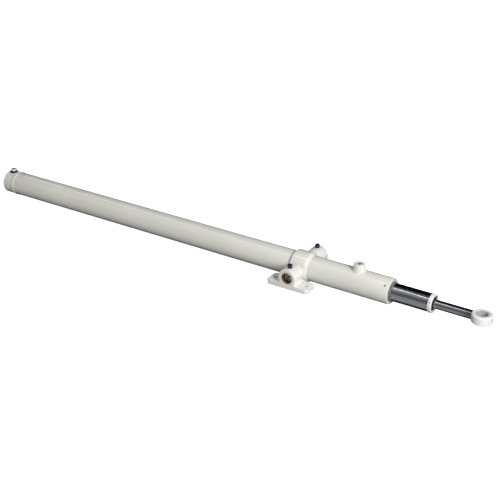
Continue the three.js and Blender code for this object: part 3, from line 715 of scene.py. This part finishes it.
def make_head_weld():
    """Butt weld in the V between the head and the tube, crowned above both."""
    low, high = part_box("rear_head_weld")
    middle = (low.x + high.x) / 2
    half = (high.x - low.x) / 2
    crown = high.z - BARREL_R - RIPPLE_HEIGHT
    face = []
    for k in range(WELD_POINTS):
        t = 2 * k / (WELD_POINTS - 1) - 1
        face.append((middle + t * half, BARREL_R + crown * (1 - t ** 2)))
    sunk_r = BARREL_R - WELD_ROOT
    root = [(high.x, sunk_r), (middle, BARREL_R - WELD_DEPTH), (low.x, sunk_r)]
    round_weld("rear_head_weld", face + root, WELD_POINTS)


def make_ring_weld(node, side):
    """Fillet weld, a little hollow, between the ring's edge and the tube."""
    low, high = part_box(node)
    ring_face = low.x if side > 0 else high.x
    toe = high.x if side > 0 else low.x
    height = high.z - RIPPLE_HEIGHT - BARREL_R
    face = []
    for k in range(WELD_POINTS):
        t = k / (WELD_POINTS - 1)
        rise = (1 - t) ** 1.35 + 0.35 * t * (1 - t)
        face.append((ring_face + t * (toe - ring_face), BARREL_R + height * rise))
    sunk = ring_face - side * WELD_ROOT
    root = [(toe, BARREL_R - WELD_ROOT), (sunk, BARREL_R - WELD_ROOT), (sunk, face[0][1])]
    round_weld(node, face + root, WELD_POINTS)


# ---- ports ------------------------------------------------------------------

BOSS_BASE_R = 23.5 * MM  # where the boss's cone would meet a plane BOSS_BASE_Z up
BOSS_BASE_Z = 40 * MM
BOSS_TOP_R = 20 * MM
BOSS_TOP_EDGE = 1.5 * MM
BOSS_SADDLE = 40 * MM  # half the length of the cutter that saddles it on the tube
PLUG_FOOT_Z = 54.5 * MM
FRONT_SOCKET_AF = 9 * MM
FRONT_SOCKET_DEPTH = 12 * MM
REAR_SOCKET_AF = 12 * MM
REAR_SOCKET_DEPTH = 8 * MM
REAR_PLUG_FOOT_Z = 30 * MM
PLUG_HEAD_EDGE = 1.5 * MM
PLUG_GROOVE_DROP = 4.2 * MM  # from the plug's top down to the line turned round its head
PLUG_GROOVE_DEPTH = 0.4 * MM
SHADE_FILL_DROP = 1 * MM  # from a socket's mouth down to the black fill that paints shade in it
WELD_LEG = 4.5 * MM
BOSS_WELD_POINTS = 9  # across the face of its bead
BOSS_TAPER = 0.27  # how much the bead's upper leg leans in with the boss


def hex_socket(centre, across_flats, floor, top):
    """Cutter for a hexagon socket with a chamfered mouth and a drilled floor."""
    corner = across_flats / math.sqrt(3)
    socket = drill("Z", centre, corner, floor, top + 5 * MM, segments=6)
    mouth = turned("tool", [
        (top - 0.4 * MM, 0),
        (top - 0.4 * MM, corner * 0.88),
        (top + 2 * MM, corner + 2.2 * MM),
        (top + 2 * MM, 0),
    ], False, "Z", centre, TINY_SEGMENTS)
    return socket, mouth


def socket_shade_fill(name, centre, across_flats, floor, top):
    """Black fill in a socket to just under its mouth, a painted shade for the socket's depth."""
    corner = across_flats / math.sqrt(3)
    shade_fill = drill("Z", centre, 0.98 * corner, floor + 0.2 * MM, top, segments=6)
    extra(shade_fill, name, "barrel", "rubber")


def make_rear_port():
    at_port = upright("rear_port_seal")
    look(turned_look("rear_port_seal", 1.1 * MM, "Z", at_port), "rear_port_seal")
    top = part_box("rear_port_plug")[1].z
    head_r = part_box("rear_port_plug")[1].x - at_port[0]
    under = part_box("rear_port_seal")[1].z + GAP
    outline = [
        (REAR_PLUG_FOOT_Z, 0),
        (REAR_PLUG_FOOT_Z, PORT_THREAD_R - 2.5 * GAP),
        (REAR_PLUG_FOOT_Z + 1 * MM, PORT_THREAD_R - 2 * GAP),
        (under, PORT_THREAD_R - 2 * GAP),
        (under, head_r - 0.5 * MM),
        (under + 0.5 * MM, head_r),
        (top - PLUG_GROOVE_DROP - PLUG_GROOVE_DEPTH, head_r),
        (top - PLUG_GROOVE_DROP, head_r - PLUG_GROOVE_DEPTH),
        (top - PLUG_GROOVE_DROP + PLUG_GROOVE_DEPTH, head_r),
        (top - PLUG_HEAD_EDGE, head_r),
        (top, head_r - PLUG_HEAD_EDGE),
        (top, 0),
    ]
    outline = rounded(outline, 0.3 * MM, False)
    plug = turned("rear_port_plug", outline, False, "Z", at_port, SMALL_SEGMENTS)
    floor = top - REAR_SOCKET_DEPTH
    look(carve(plug, *hex_socket(at_port, REAR_SOCKET_AF, floor, top)), "rear_port_plug")
    # black fill: painted shade in the rear plug's socket
    socket_shade_fill("rear_socket_shade_fill", at_port, REAR_SOCKET_AF, floor, top - SHADE_FILL_DROP)


def boss_radius(z):
    """Radius of the front boss's cone at a height."""
    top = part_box("front_port_boss")[1].z - BOSS_TOP_EDGE
    return BOSS_BASE_R + (BOSS_TOP_R - BOSS_BASE_R) * (z - BOSS_BASE_Z) / (top - BOSS_BASE_Z)


def make_front_port():
    at_port = upright("front_port_boss")
    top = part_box("front_port_boss")[1].z
    outline = [
        (BOSS_BASE_Z, 0),
        (BOSS_BASE_Z, BOSS_BASE_R),
        (top - BOSS_TOP_EDGE, BOSS_TOP_R),
        (top, BOSS_TOP_R - BOSS_TOP_EDGE),
        (top, 0),
    ]
    boss = turned("front_port_boss", rounded(outline, 1.5 * MM, False), False, "Z", at_port)
    look(carve(
        boss,
        drill("X", (0, 0, 0), BARREL_R + SLIP, at_port[0] - BOSS_SADDLE, at_port[0] + BOSS_SADDLE,
              segments=SEGMENTS),
        drill("Z", at_port, PORT_WAY_R, BOSS_BASE_Z, ABOVE_BARREL_Z),
        drill("Z", at_port, PORT_THREAD_R, PLUG_FOOT_Z - GAP, top, mouth=0.5 * MM),
    ), "front_port_boss")
    plug_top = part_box("front_port_plug")[1].z
    outline = [
        (PLUG_FOOT_Z, 0),
        (PLUG_FOOT_Z, PORT_THREAD_R - 2 * GAP),
        (plug_top, PORT_THREAD_R - GAP),
        (plug_top, 0),
    ]
    outline = rounded(outline, 0.5 * MM, False)
    plug = turned("front_port_plug", outline, False, "Z", at_port, SMALL_SEGMENTS)
    floor = plug_top - FRONT_SOCKET_DEPTH
    look(carve(plug, *hex_socket(at_port, FRONT_SOCKET_AF, floor, plug_top)), "front_port_plug")
    # black fill: painted shade in the front plug's socket
    socket_shade_fill("front_socket_shade_fill", at_port, FRONT_SOCKET_AF, floor, plug_top - SHADE_FILL_DROP)
    extra(boss_weld(at_port[0]), "front_port_weld", "barrel", "paint_bright")


def boss_weld(x):
    """Rippled fillet that runs round the foot of the boss, in the saddle where it meets the tube."""
    count = round(math.tau * BOSS_BASE_R / RIPPLE_PITCH)
    segments = count * RIPPLE_SEGMENTS
    points = BOSS_WELD_POINTS
    bm = bmesh.new()
    loops = []
    for k in range(segments):
        angle = math.tau * k / segments
        outwards = Vector((math.cos(angle), math.sin(angle), 0))
        radius = BOSS_BASE_R
        for _ in range(6):  # settles on where the cone meets the tube
            height = math.sqrt(BARREL_R ** 2 - (radius * outwards.y) ** 2)
            radius = boss_radius(height)
        corner = Vector((x, 0, 0)) + outwards * radius + Vector((0, 0, height))
        tube_up = Vector((0, corner.y, corner.z)).normalized()
        along_tube = (outwards - tube_up * outwards.dot(tube_up)).normalized()
        up_boss = (Vector((0, 0, 1)) - BOSS_TAPER * outwards).normalized()
        loop = []
        for j in range(points):
            t = j / (points - 1)
            reach = (1 - t) ** 1.6 * up_boss + t ** 1.6 * along_tube
            lift = ripple(angle, 2 * t - 1, count) * (up_boss + along_tube).normalized()
            loop.append(bm.verts.new(corner + WELD_LEG * reach + lift))
        loop.append(bm.verts.new(corner - WELD_ROOT * tube_up - 2 * WELD_ROOT * outwards))
        loops.append(loop)
    for k, loop in enumerate(loops):
        following = loops[(k + 1) % segments]
        for j in range(points + 1):
            n = (j + 1) % (points + 1)
            bm.faces.new((loop[j], loop[n], following[n], following[j]))
    return piece_from("front_port_weld", bm)


# ---- bearing blocks ---------------------------------------------------------

FOOT_THICK = 18 * MM
FOOT_FILLET = 8 * MM
FOOT_CORNER = 8 * MM
FOOT_HOLE_R = 9 * MM
FILLET_STEPS = 12
BOSS_STEPS = 72
BLOCK_EDGE = 1.8 * MM
BLOCK_EDGE_STEPS = 4
FOOT_CORNER_CUT = 60 * MM  # height of the cutter
NIPPLE_HOLE_R = 3 * MM
NIPPLE_HOLE_FLOOR_Z = 15 * MM
NIPPLE_HOLE_TOP_Z = 45 * MM
GREASE_HOLE_R = 2.5 * MM
GREASE_HOLE_TOP_Z = 30 * MM
PIN_ROOT_Y = 45 * MM  # before the ring's saddle is cut in it
PIN_SADDLE = 60 * MM  # half the length of the cutter that saddles it on the ring
PIN_EDGE = 2 * MM
PIN_DRILL_R = 1.2 * MM
PIN_CENTRE_R = 4 * MM


def arc(centre, radius, start, end, count):
    """Points along an arc in the X-Z plane, from one angle to another."""
    angles = [start + (end - start) * k / count for k in range(count + 1)]
    return [(centre[0] + radius * math.cos(a), centre[1] + radius * math.sin(a)) for a in angles]


def block_outline(boss_r, foot_half, foot_bottom):
    """Round boss that runs down through fillets into a flat foot, seen along Y."""
    foot_top = foot_bottom + FOOT_THICK
    fillet_z = foot_top + FOOT_FILLET
    reach = boss_r + FOOT_FILLET
    fillet_x = math.sqrt(reach ** 2 - fillet_z ** 2)
    meet = math.atan2(fillet_z, fillet_x)
    right_fillet = arc((fillet_x, fillet_z), FOOT_FILLET, -math.pi / 2, meet - math.pi, FILLET_STEPS)
    boss = arc((0, 0), boss_r, meet, math.pi - meet, BOSS_STEPS)
    left_fillet = arc((-fillet_x, fillet_z), FOOT_FILLET, -meet, -math.pi / 2, FILLET_STEPS)
    foot = [
        (-foot_half, foot_top),
        (-foot_half, foot_bottom),
        (foot_half, foot_bottom),
        (foot_half, foot_top),
    ]
    return right_fillet + boss[1:-1] + left_fillet + foot


def corner_tool(x, y, bottom):
    """Square bar on its corner, for taking a corner off the foot."""
    bm = bmesh.new()
    bmesh.ops.create_cube(bm, size=1)
    side = FOOT_CORNER * math.sqrt(2)
    turn = Matrix.Rotation(math.radians(45), 4, "Z")
    scale = Matrix.Diagonal((side, side, FOOT_CORNER_CUT, 1))
    bm.transform(Matrix.Translation((x, y, bottom)) @ turn @ scale)
    return piece_from("tool", bm)


def make_block(label):
    """Cast block: the outline with its edges eased, then bored, drilled and cross-drilled."""
    node = f"{label}_block"
    low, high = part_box(node)
    bm = bmesh.new()
    outline = block_outline(high.z, high.x, low.z)
    ends = [[bm.verts.new((x, y, z)) for x, z in outline] for y in (low.y, high.y)]
    bm.faces.new(ends[0])
    bm.faces.new(ends[1])
    for k in range(len(outline)):
        n = (k + 1) % len(outline)
        bm.faces.new((ends[0][k], ends[0][n], ends[1][n], ends[1][k]))
    piece = piece_from(node, bm)
    carve(piece, *[corner_tool(x, y, low.z) for x in (low.x, high.x) for y in (low.y, high.y)])
    bevel = piece.modifiers.new("bevel", "BEVEL")
    bevel.width = BLOCK_EDGE
    bevel.segments = BLOCK_EDGE_STEPS
    bevel.limit_method = "ANGLE"
    bevel.angle_limit = math.radians(30)
    apply_modifiers(piece)
    bush_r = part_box(f"{label}_bush")[1].z
    bore = drill("Y", (0, 0, 0), bush_r + SLIP, low.y, high.y, mouth=1.0 * MM, segments=SEGMENTS)
    tools = [bore]
    for end in ("rear", "front"):
        hole_low, hole_high = OPENING[f"{label}_foot_hole_{end}"]
        x = (hole_low[0] + hole_high[0]) / 2
        y = (hole_low[1] + hole_high[1]) / 2
        tools.append(drill("Z", (x, y, 0), FOOT_HOLE_R, low.z, low.z + FOOT_THICK, mouth=0.8 * MM))
    at_nipple = (0, centre_of(f"{label}_nipple").y, 0)
    tools.append(drill("Z", at_nipple, NIPPLE_HOLE_R, NIPPLE_HOLE_FLOOR_Z, NIPPLE_HOLE_TOP_Z))
    look(carve(piece, *tools), node)


def make_bush(label):
    """Bronze bush with chamfered mouths, an oil groove and its grease hole."""
    node = f"{label}_bush"
    piece = turned_look(node, 0.8 * MM, "Y")
    at_nipple = (0, centre_of(f"{label}_nipple").y, 0)
    grease_hole = drill("Z", at_nipple, GREASE_HOLE_R, NIPPLE_HOLE_FLOOR_Z, GREASE_HOLE_TOP_Z)
    look(carve(piece, grease_hole), node)


def make_pin(label, side):
    """Trunnion pin, saddled on the ring, with chamfered edge and a drilled centre."""
    low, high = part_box(f"{label}_pin")
    radius = high.z
    end = side * max(abs(low.y), abs(high.y))
    outline = [
        (side * PIN_ROOT_Y, 0),
        (side * PIN_ROOT_Y, radius),
        (end - side * PIN_EDGE, radius),
        (end, radius - PIN_EDGE),
        (end, PIN_CENTRE_R),
        (end - side * 1.2 * PIN_CENTRE_R, PIN_DRILL_R),
        (end - side * 2.2 * PIN_CENTRE_R, PIN_DRILL_R),
        (end - side * 2.4 * PIN_CENTRE_R, 0),
    ]
    piece = turned(f"{label}_pin", rounded(outline, 0.5 * MM, False), False, "Y")
    ring_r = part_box("trunnion_ring")[1].z
    saddle = drill("X", (0, 0, 0), ring_r, -PIN_SADDLE, PIN_SADDLE, segments=SEGMENTS)
    look(carve(piece, saddle), f"{label}_pin")


NIPPLE_AF = 8 * MM
NIPPLE_HEX_HEIGHT = 4.2 * MM
NIPPLE_NECK_DROP = 4 * MM  # from the nipple's top down to its neck
HEX_EDGE = 0.7 * MM
CAP_BORE_R = 5 * MM
CAP_ROOF = 2.6 * MM


def make_nipple(label):
    """Grease nipple: stem, chamfered hexagon and ball head with its tiny mouth."""
    node = f"{label}_nipple"
    at = upright(node)
    low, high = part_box(node)
    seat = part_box(f"{label}_block")[1].z + GAP
    hex_top = seat + NIPPLE_HEX_HEIGHT
    neck_z = high.z - NIPPLE_NECK_DROP
    outline = [
        (low.z, 0),
        (low.z, NIPPLE_HOLE_R - GAP),
        (neck_z - 1 * MM, NIPPLE_HOLE_R - GAP),
        (neck_z, 2 * MM),
        (neck_z + 0.7 * MM, 2.3 * MM),
        (neck_z + 2 * MM, 3.2 * MM),
        (neck_z + 3.3 * MM, 2.7 * MM),
        (high.z, 1.8 * MM),
        (high.z, 0.7 * MM),
        (high.z - 1 * MM, 0.5 * MM),
        (high.z - 1.2 * MM, 0),
    ]
    body = turned(node, rounded(outline, 0.4 * MM, False), False, "Z", at, TINY_SEGMENTS)
    corner = NIPPLE_AF / math.sqrt(3)
    face_r = NIPPLE_AF / 2 * 0.98
    hexagon = hexagon_bar("Z", at, corner, seat, hex_top, face_r, HEX_EDGE, TINY_SEGMENTS)
    look(carve(body, hexagon, operation="UNION"), node)


def make_cap(label):
    """Push-on cap: a soft cup with a bead round its foot and a domed top."""
    node = f"{label}_cap"
    at = upright(node)
    low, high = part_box(node)
    radius = high.x
    roof = high.z - CAP_ROOF
    outline = [
        (roof, 0),
        (roof, CAP_BORE_R),
        (low.z, CAP_BORE_R),
        (low.z, radius - 0.6 * MM),
        (low.z + 1.6 * MM, radius - 0.4 * MM),
        (low.z + 2.4 * MM, radius - 0.9 * MM),
        (high.z - 5.6 * MM, radius - 0.6 * MM),
        (high.z - 4.0 * MM, radius),
        (high.z - 1.2 * MM, radius - 0.8 * MM),
        (high.z, radius - 3.2 * MM),
        (high.z, 0),
    ]
    outline = rounded(outline, 1.2 * MM, False)
    look(turned(node, outline, False, "Z", at, SMALL_SEGMENTS), node)


# ---- gland, sleeve and rod --------------------------------------------------

SPANNER_HOLE_R = 2.2 * MM
SPANNER_HOLE_DEPTH = 5 * MM
SPANNER_ANGLES = (61, 151, 241, 331)  # degrees from +Y towards +Z
LOCK_SCREW_FOOT = 41.6 * MM  # from the cylinder's axis
LOCK_SCREW_TOP = 46.6 * MM
LOCK_SOCKET_AF = 3 * MM
LOCK_SOCKET_DEPTH = 2.5 * MM
EYE_SEAT_HALF = 30 * MM  # half the height of the cutter that seats the eye in the rod
NUT_EDGE = 2 * MM


def make_lock_screw():
    """Grub screw with a hexagon socket, sunk just under the barrel's surface."""
    middle = centre_of("gland_lock_screw")
    foot = LOCK_SCREW_FOOT
    top = LOCK_SCREW_TOP
    outline = [
        (foot, 0),
        (foot, LOCK_SCREW_R - 0.5 * MM),
        (foot + 0.5 * MM, LOCK_SCREW_R),
        (top - 0.4 * MM, LOCK_SCREW_R),
        (top, LOCK_SCREW_R - 0.4 * MM),
        (top, 0),
    ]
    screw = turned("gland_lock_screw", outline, False, "Z", (0, 0, 0), TINY_SEGMENTS)
    corner = LOCK_SOCKET_AF / math.sqrt(3)
    carve(screw, drill("Z", (0, 0, 0), corner, top - LOCK_SOCKET_DEPTH, top + 2 * MM, segments=6))
    screw.data.transform(outward(middle.x, LOCK_SCREW_ANGLE))
    look(screw, "gland_lock_screw")


def make_sleeve_head():
    """Collar screwed into the sleeve, with four holes round it for a hook spanner."""
    piece = turned_look("sleeve_head", 0.9 * MM)
    collar_r = max(radius for _, radius in section("sleeve_head")[0])
    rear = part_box("sleeve_tube")[1].x
    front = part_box("sleeve_head")[1].x
    floor = collar_r - SPANNER_HOLE_DEPTH
    holes = []
    for degrees in SPANNER_ANGLES:
        hole = drill("Z", (0, 0, 0), SPANNER_HOLE_R, floor, collar_r, 0.4 * MM, TINY_SEGMENTS)
        hole.data.transform(outward((rear + front) / 2, math.radians(degrees)))
        holes.append(hole)
    look(carve(piece, *holes), "sleeve_head")


def make_rod():
    """Chromed bar, stepped behind for its piston, its front end mouthed to fit the eye."""
    outline, _ = section("rod")
    eye = centre_of("rod_eye")
    eye_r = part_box("rod_eye")[1].x - eye.x
    rod_r = outline[-1][1]
    outline = outline[:-1] + [(eye.x - eye_r / 2, rod_r), (eye.x - eye_r / 2, 0)]
    outline = stepped(rounded(outline, 0.5 * MM, False), False, BARREL_STEP)
    piece = turned("rod", outline, False)
    at_eye = (eye.x, 0, 0)
    mouth = drill("Z", at_eye, eye_r + SLIP, -EYE_SEAT_HALF, EYE_SEAT_HALF, segments=SEGMENTS)
    look(carve(piece, mouth), "rod")


def make_rod_nut():
    """Hexagon nut, chamfered at both ends, that holds the rod's piston."""
    low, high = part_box("rod_nut")
    corner = max(high.y, high.z)
    face_r = corner * math.cos(math.pi / 6) * 0.97
    nut = hexagon_bar("X", (0, 0, 0), corner, low.x, high.x, face_r, NUT_EDGE)
    bore = section("rod")[0][2][1] + GAP
    look(carve(nut, drill("X", (0, 0, 0), bore, low.x, high.x, mouth=0.8 * MM)), "rod_nut")


# ---- stage ------------------------------------------------------------------

CAMERA_AZIMUTH = math.radians(33.24)  # 0 looks along +Y
CAMERA_ELEVATION = math.radians(26.40)
CAMERA_TARGET = Vector((-0.2314, 0, 0))  # on the cylinder's axis
CAMERA_DISTANCE = 3.7192
CAMERA_LENS = 72
CAMERA_SENSOR = 36
CAMERA_REACH = 200  # how far it sees

FLOOR_DROP = 2 * MM  # below the lowest point of the object
FLOOR_HALF = 40
FLOOR_WHITE = (0.95, 0.95, 0.95)
FLOOR_GLOW = (1.05, 1.05, 1.05)
BACK_Y = 1.2  # of the flag behind the object
BACK_TOP_Z = 5.6
FLAG_X = (-6, 3)  # reach of that flag, and of the floor that the chrome sees dark
SHADOW_Y = (-0.045, BACK_Y)
DARK_X = (-6, 0)  # reach of the floor that lights the paint less
DARK_Y = (-0.10, BACK_Y)

KEY_PLACE = Vector((2.65, -1.36, 1.63))
KEY_SIZE = (1.1, 1.1)
KEY_WATTS = 114
PANEL_Z = 2.2
PANEL_X = (-4.5, 1.5)
PANEL_Y = (-2.5, -0.58)
PANEL_LIFT = 0.01  # above the strip
STRIP_REAR = ((-4.2, 1.35), (-4.2, 1.55))  # corners of the strip over the object, as (x, y)
STRIP_FRONT = ((1.0, -1.26), (1.0, -1.46))

# what each sheet and the room give off, as linear colours
FLOOR_BOUNCE = (0.30, 0.29, 0.26)
FLOOR_GLOSS = (0.36, 0.365, 0.385)
FLOOR_DARK = (0.08, 0.08, 0.085)
FLOOR_SHADOW = (0.02, 0.02, 0.021)
FLAG = (0.004, 0.004, 0.003)
STRIP = (3.7, 3.75, 3.85)
PANEL = (0.38, 0.40, 0.44)
ROOM_LIGHT = (0.45, 0.44, 0.41)
ROOM_GLOSS = (0.14, 0.145, 0.16)
ROOM_WHITE = (1.1, 1.1, 1.1)


def add_camera():
    camera = bpy.data.objects.new("camera", bpy.data.cameras.new("camera"))
    camera.data.lens = CAMERA_LENS
    camera.data.sensor_width = CAMERA_SENSOR
    camera.data.clip_end = CAMERA_REACH
    back = Vector((
        math.sin(CAMERA_AZIMUTH) * math.cos(CAMERA_ELEVATION),
        -math.cos(CAMERA_AZIMUTH) * math.cos(CAMERA_ELEVATION),
        math.sin(CAMERA_ELEVATION),
    ))
    camera.location = CAMERA_TARGET + CAMERA_DISTANCE * back
    camera.rotation_mode = "QUATERNION"
    camera.rotation_quaternion = (-back).to_track_quat("-Z", "Y")
    bpy.context.scene.collection.objects.link(camera)
    bpy.context.scene.camera = camera


def add_card(name, corners, glow, base=(0, 0, 0), camera=False, diffuse=False, glossy=False):
    """Flat glowing sheet of the stage, seen only by the kinds of ray that are asked for."""
    mesh = bpy.data.meshes.new(name)
    mesh.from_pydata([tuple(c) for c in corners], [], [tuple(range(len(corners)))])
    card = bpy.data.objects.new(name, mesh)
    bpy.context.scene.collection.objects.link(card)
    material = bpy.data.materials.new(name)
    material.use_nodes = True
    shader = material.node_tree.nodes["Principled BSDF"]
    shader.inputs["Base Color"].default_value = (*base, 1)
    shader.inputs["Roughness"].default_value = 0.9
    shader.inputs["Specular IOR Level"].default_value = 0.0
    shader.inputs["Emission Color"].default_value = (*glow, 1)
    shader.inputs["Emission Strength"].default_value = 1.0
    mesh.materials.append(material)
    card.visible_camera = camera
    card.visible_diffuse = diffuse
    card.visible_glossy = glossy
    card.visible_transmission = False
    card.visible_shadow = False


def level(x, y, z):
    """Corners of a level sheet that covers the ranges x and y at height z."""
    return [(x[0], y[0], z), (x[1], y[0], z), (x[1], y[1], z), (x[0], y[1], z)]


def add_key_light():
    """Lamp aimed at the origin, that fades with distance and not with its square."""
    light = bpy.data.lights.new("key", "AREA")
    light.shape = "RECTANGLE"
    light.size, light.size_y = KEY_SIZE
    light.energy = KEY_WATTS
    light.use_nodes = True
    falloff = light.node_tree.nodes.new("ShaderNodeLightFalloff")
    falloff.inputs["Strength"].default_value = 1 / KEY_PLACE.length
    emission = light.node_tree.nodes["Emission"]
    light.node_tree.links.new(falloff.outputs["Linear"], emission.inputs["Strength"])
    lamp = bpy.data.objects.new("key", light)
    lamp.location = KEY_PLACE
    lamp.rotation_mode = "QUATERNION"
    lamp.rotation_quaternion = (-KEY_PLACE).to_track_quat("-Z", "Y")
    lamp.visible_glossy = False
    bpy.context.scene.collection.objects.link(lamp)


def add_stage():
    """White surround for the camera, and the panels that the paint and the chrome see."""
    everywhere = (-FLOOR_HALF, FLOOR_HALF)
    floor_z = CAD_BOX[0].z - FLOOR_DROP
    under = level(everywhere, everywhere, floor_z - 1 * MM)
    add_card("floor", level(everywhere, everywhere, floor_z), FLOOR_GLOW, FLOOR_WHITE, camera=True)
    add_card("floor_bounce", under, FLOOR_BOUNCE, diffuse=True)
    add_card("floor_gloss", under, FLOOR_GLOSS, glossy=True)
    add_card("floor_dark", level(DARK_X, DARK_Y, floor_z), FLOOR_DARK, diffuse=True)
    add_card("floor_shadow", level(FLAG_X, SHADOW_Y, floor_z), FLOOR_SHADOW, glossy=True)
    rear, front = FLAG_X
    flag = ((rear, floor_z), (front, floor_z), (front, BACK_TOP_Z), (rear, BACK_TOP_Z))
    add_card("back_flag", [(x, BACK_Y, z) for x, z in flag], FLAG, glossy=True)
    strip = [(x, y, PANEL_Z) for x, y in STRIP_REAR + STRIP_FRONT]
    add_card("overhead_strip", strip, STRIP, glossy=True)
    add_card("overhead_panel", level(PANEL_X, PANEL_Y, PANEL_Z + PANEL_LIFT), PANEL, glossy=True)
    add_key_light()
    world = bpy.data.worlds.new("studio")
    bpy.context.scene.world = world
    world.use_nodes = True
    add_world(world.node_tree)


def add_world(tree):
    """Even room light on the paint, a dimmer room in the chrome, and white behind the object."""
    nodes = tree.nodes
    rays = nodes.new("ShaderNodeLightPath")
    shown = nodes["Background"]
    shown.inputs["Color"].default_value = (*ROOM_LIGHT, 1)
    for kind, colour in (("Is Glossy Ray", ROOM_GLOSS), ("Is Camera Ray", ROOM_WHITE)):
        light = nodes.new("ShaderNodeBackground")
        light.inputs["Color"].default_value = (*colour, 1)
        mix = nodes.new("ShaderNodeMixShader")
        tree.links.new(rays.outputs[kind], mix.inputs["Fac"])
        tree.links.new(shown.outputs[0], mix.inputs[1])
        tree.links.new(light.outputs[0], mix.inputs[2])
        shown = mix
    tree.links.new(shown.outputs[0], nodes["World Output"].inputs["Surface"])


# ---- the object and its stage -----------------------------------------------

add_camera()
make_plain_turned()
make_barrel()
make_rear_head()
make_head_weld()
make_ring_weld("ring_weld_front", 1)
make_ring_weld("ring_weld_rear", -1)
make_rear_port()
make_front_port()
for label, side in (("near", -1), ("far", 1)):
    make_block(label)
    make_bush(label)
    make_pin(label, side)
    make_nipple(label)
    make_cap(label)
make_lock_screw()
make_sleeve_head()
make_rod()
make_rod_nut()
add_stage()
bpy.context.scene.view_settings.view_transform = "Standard"
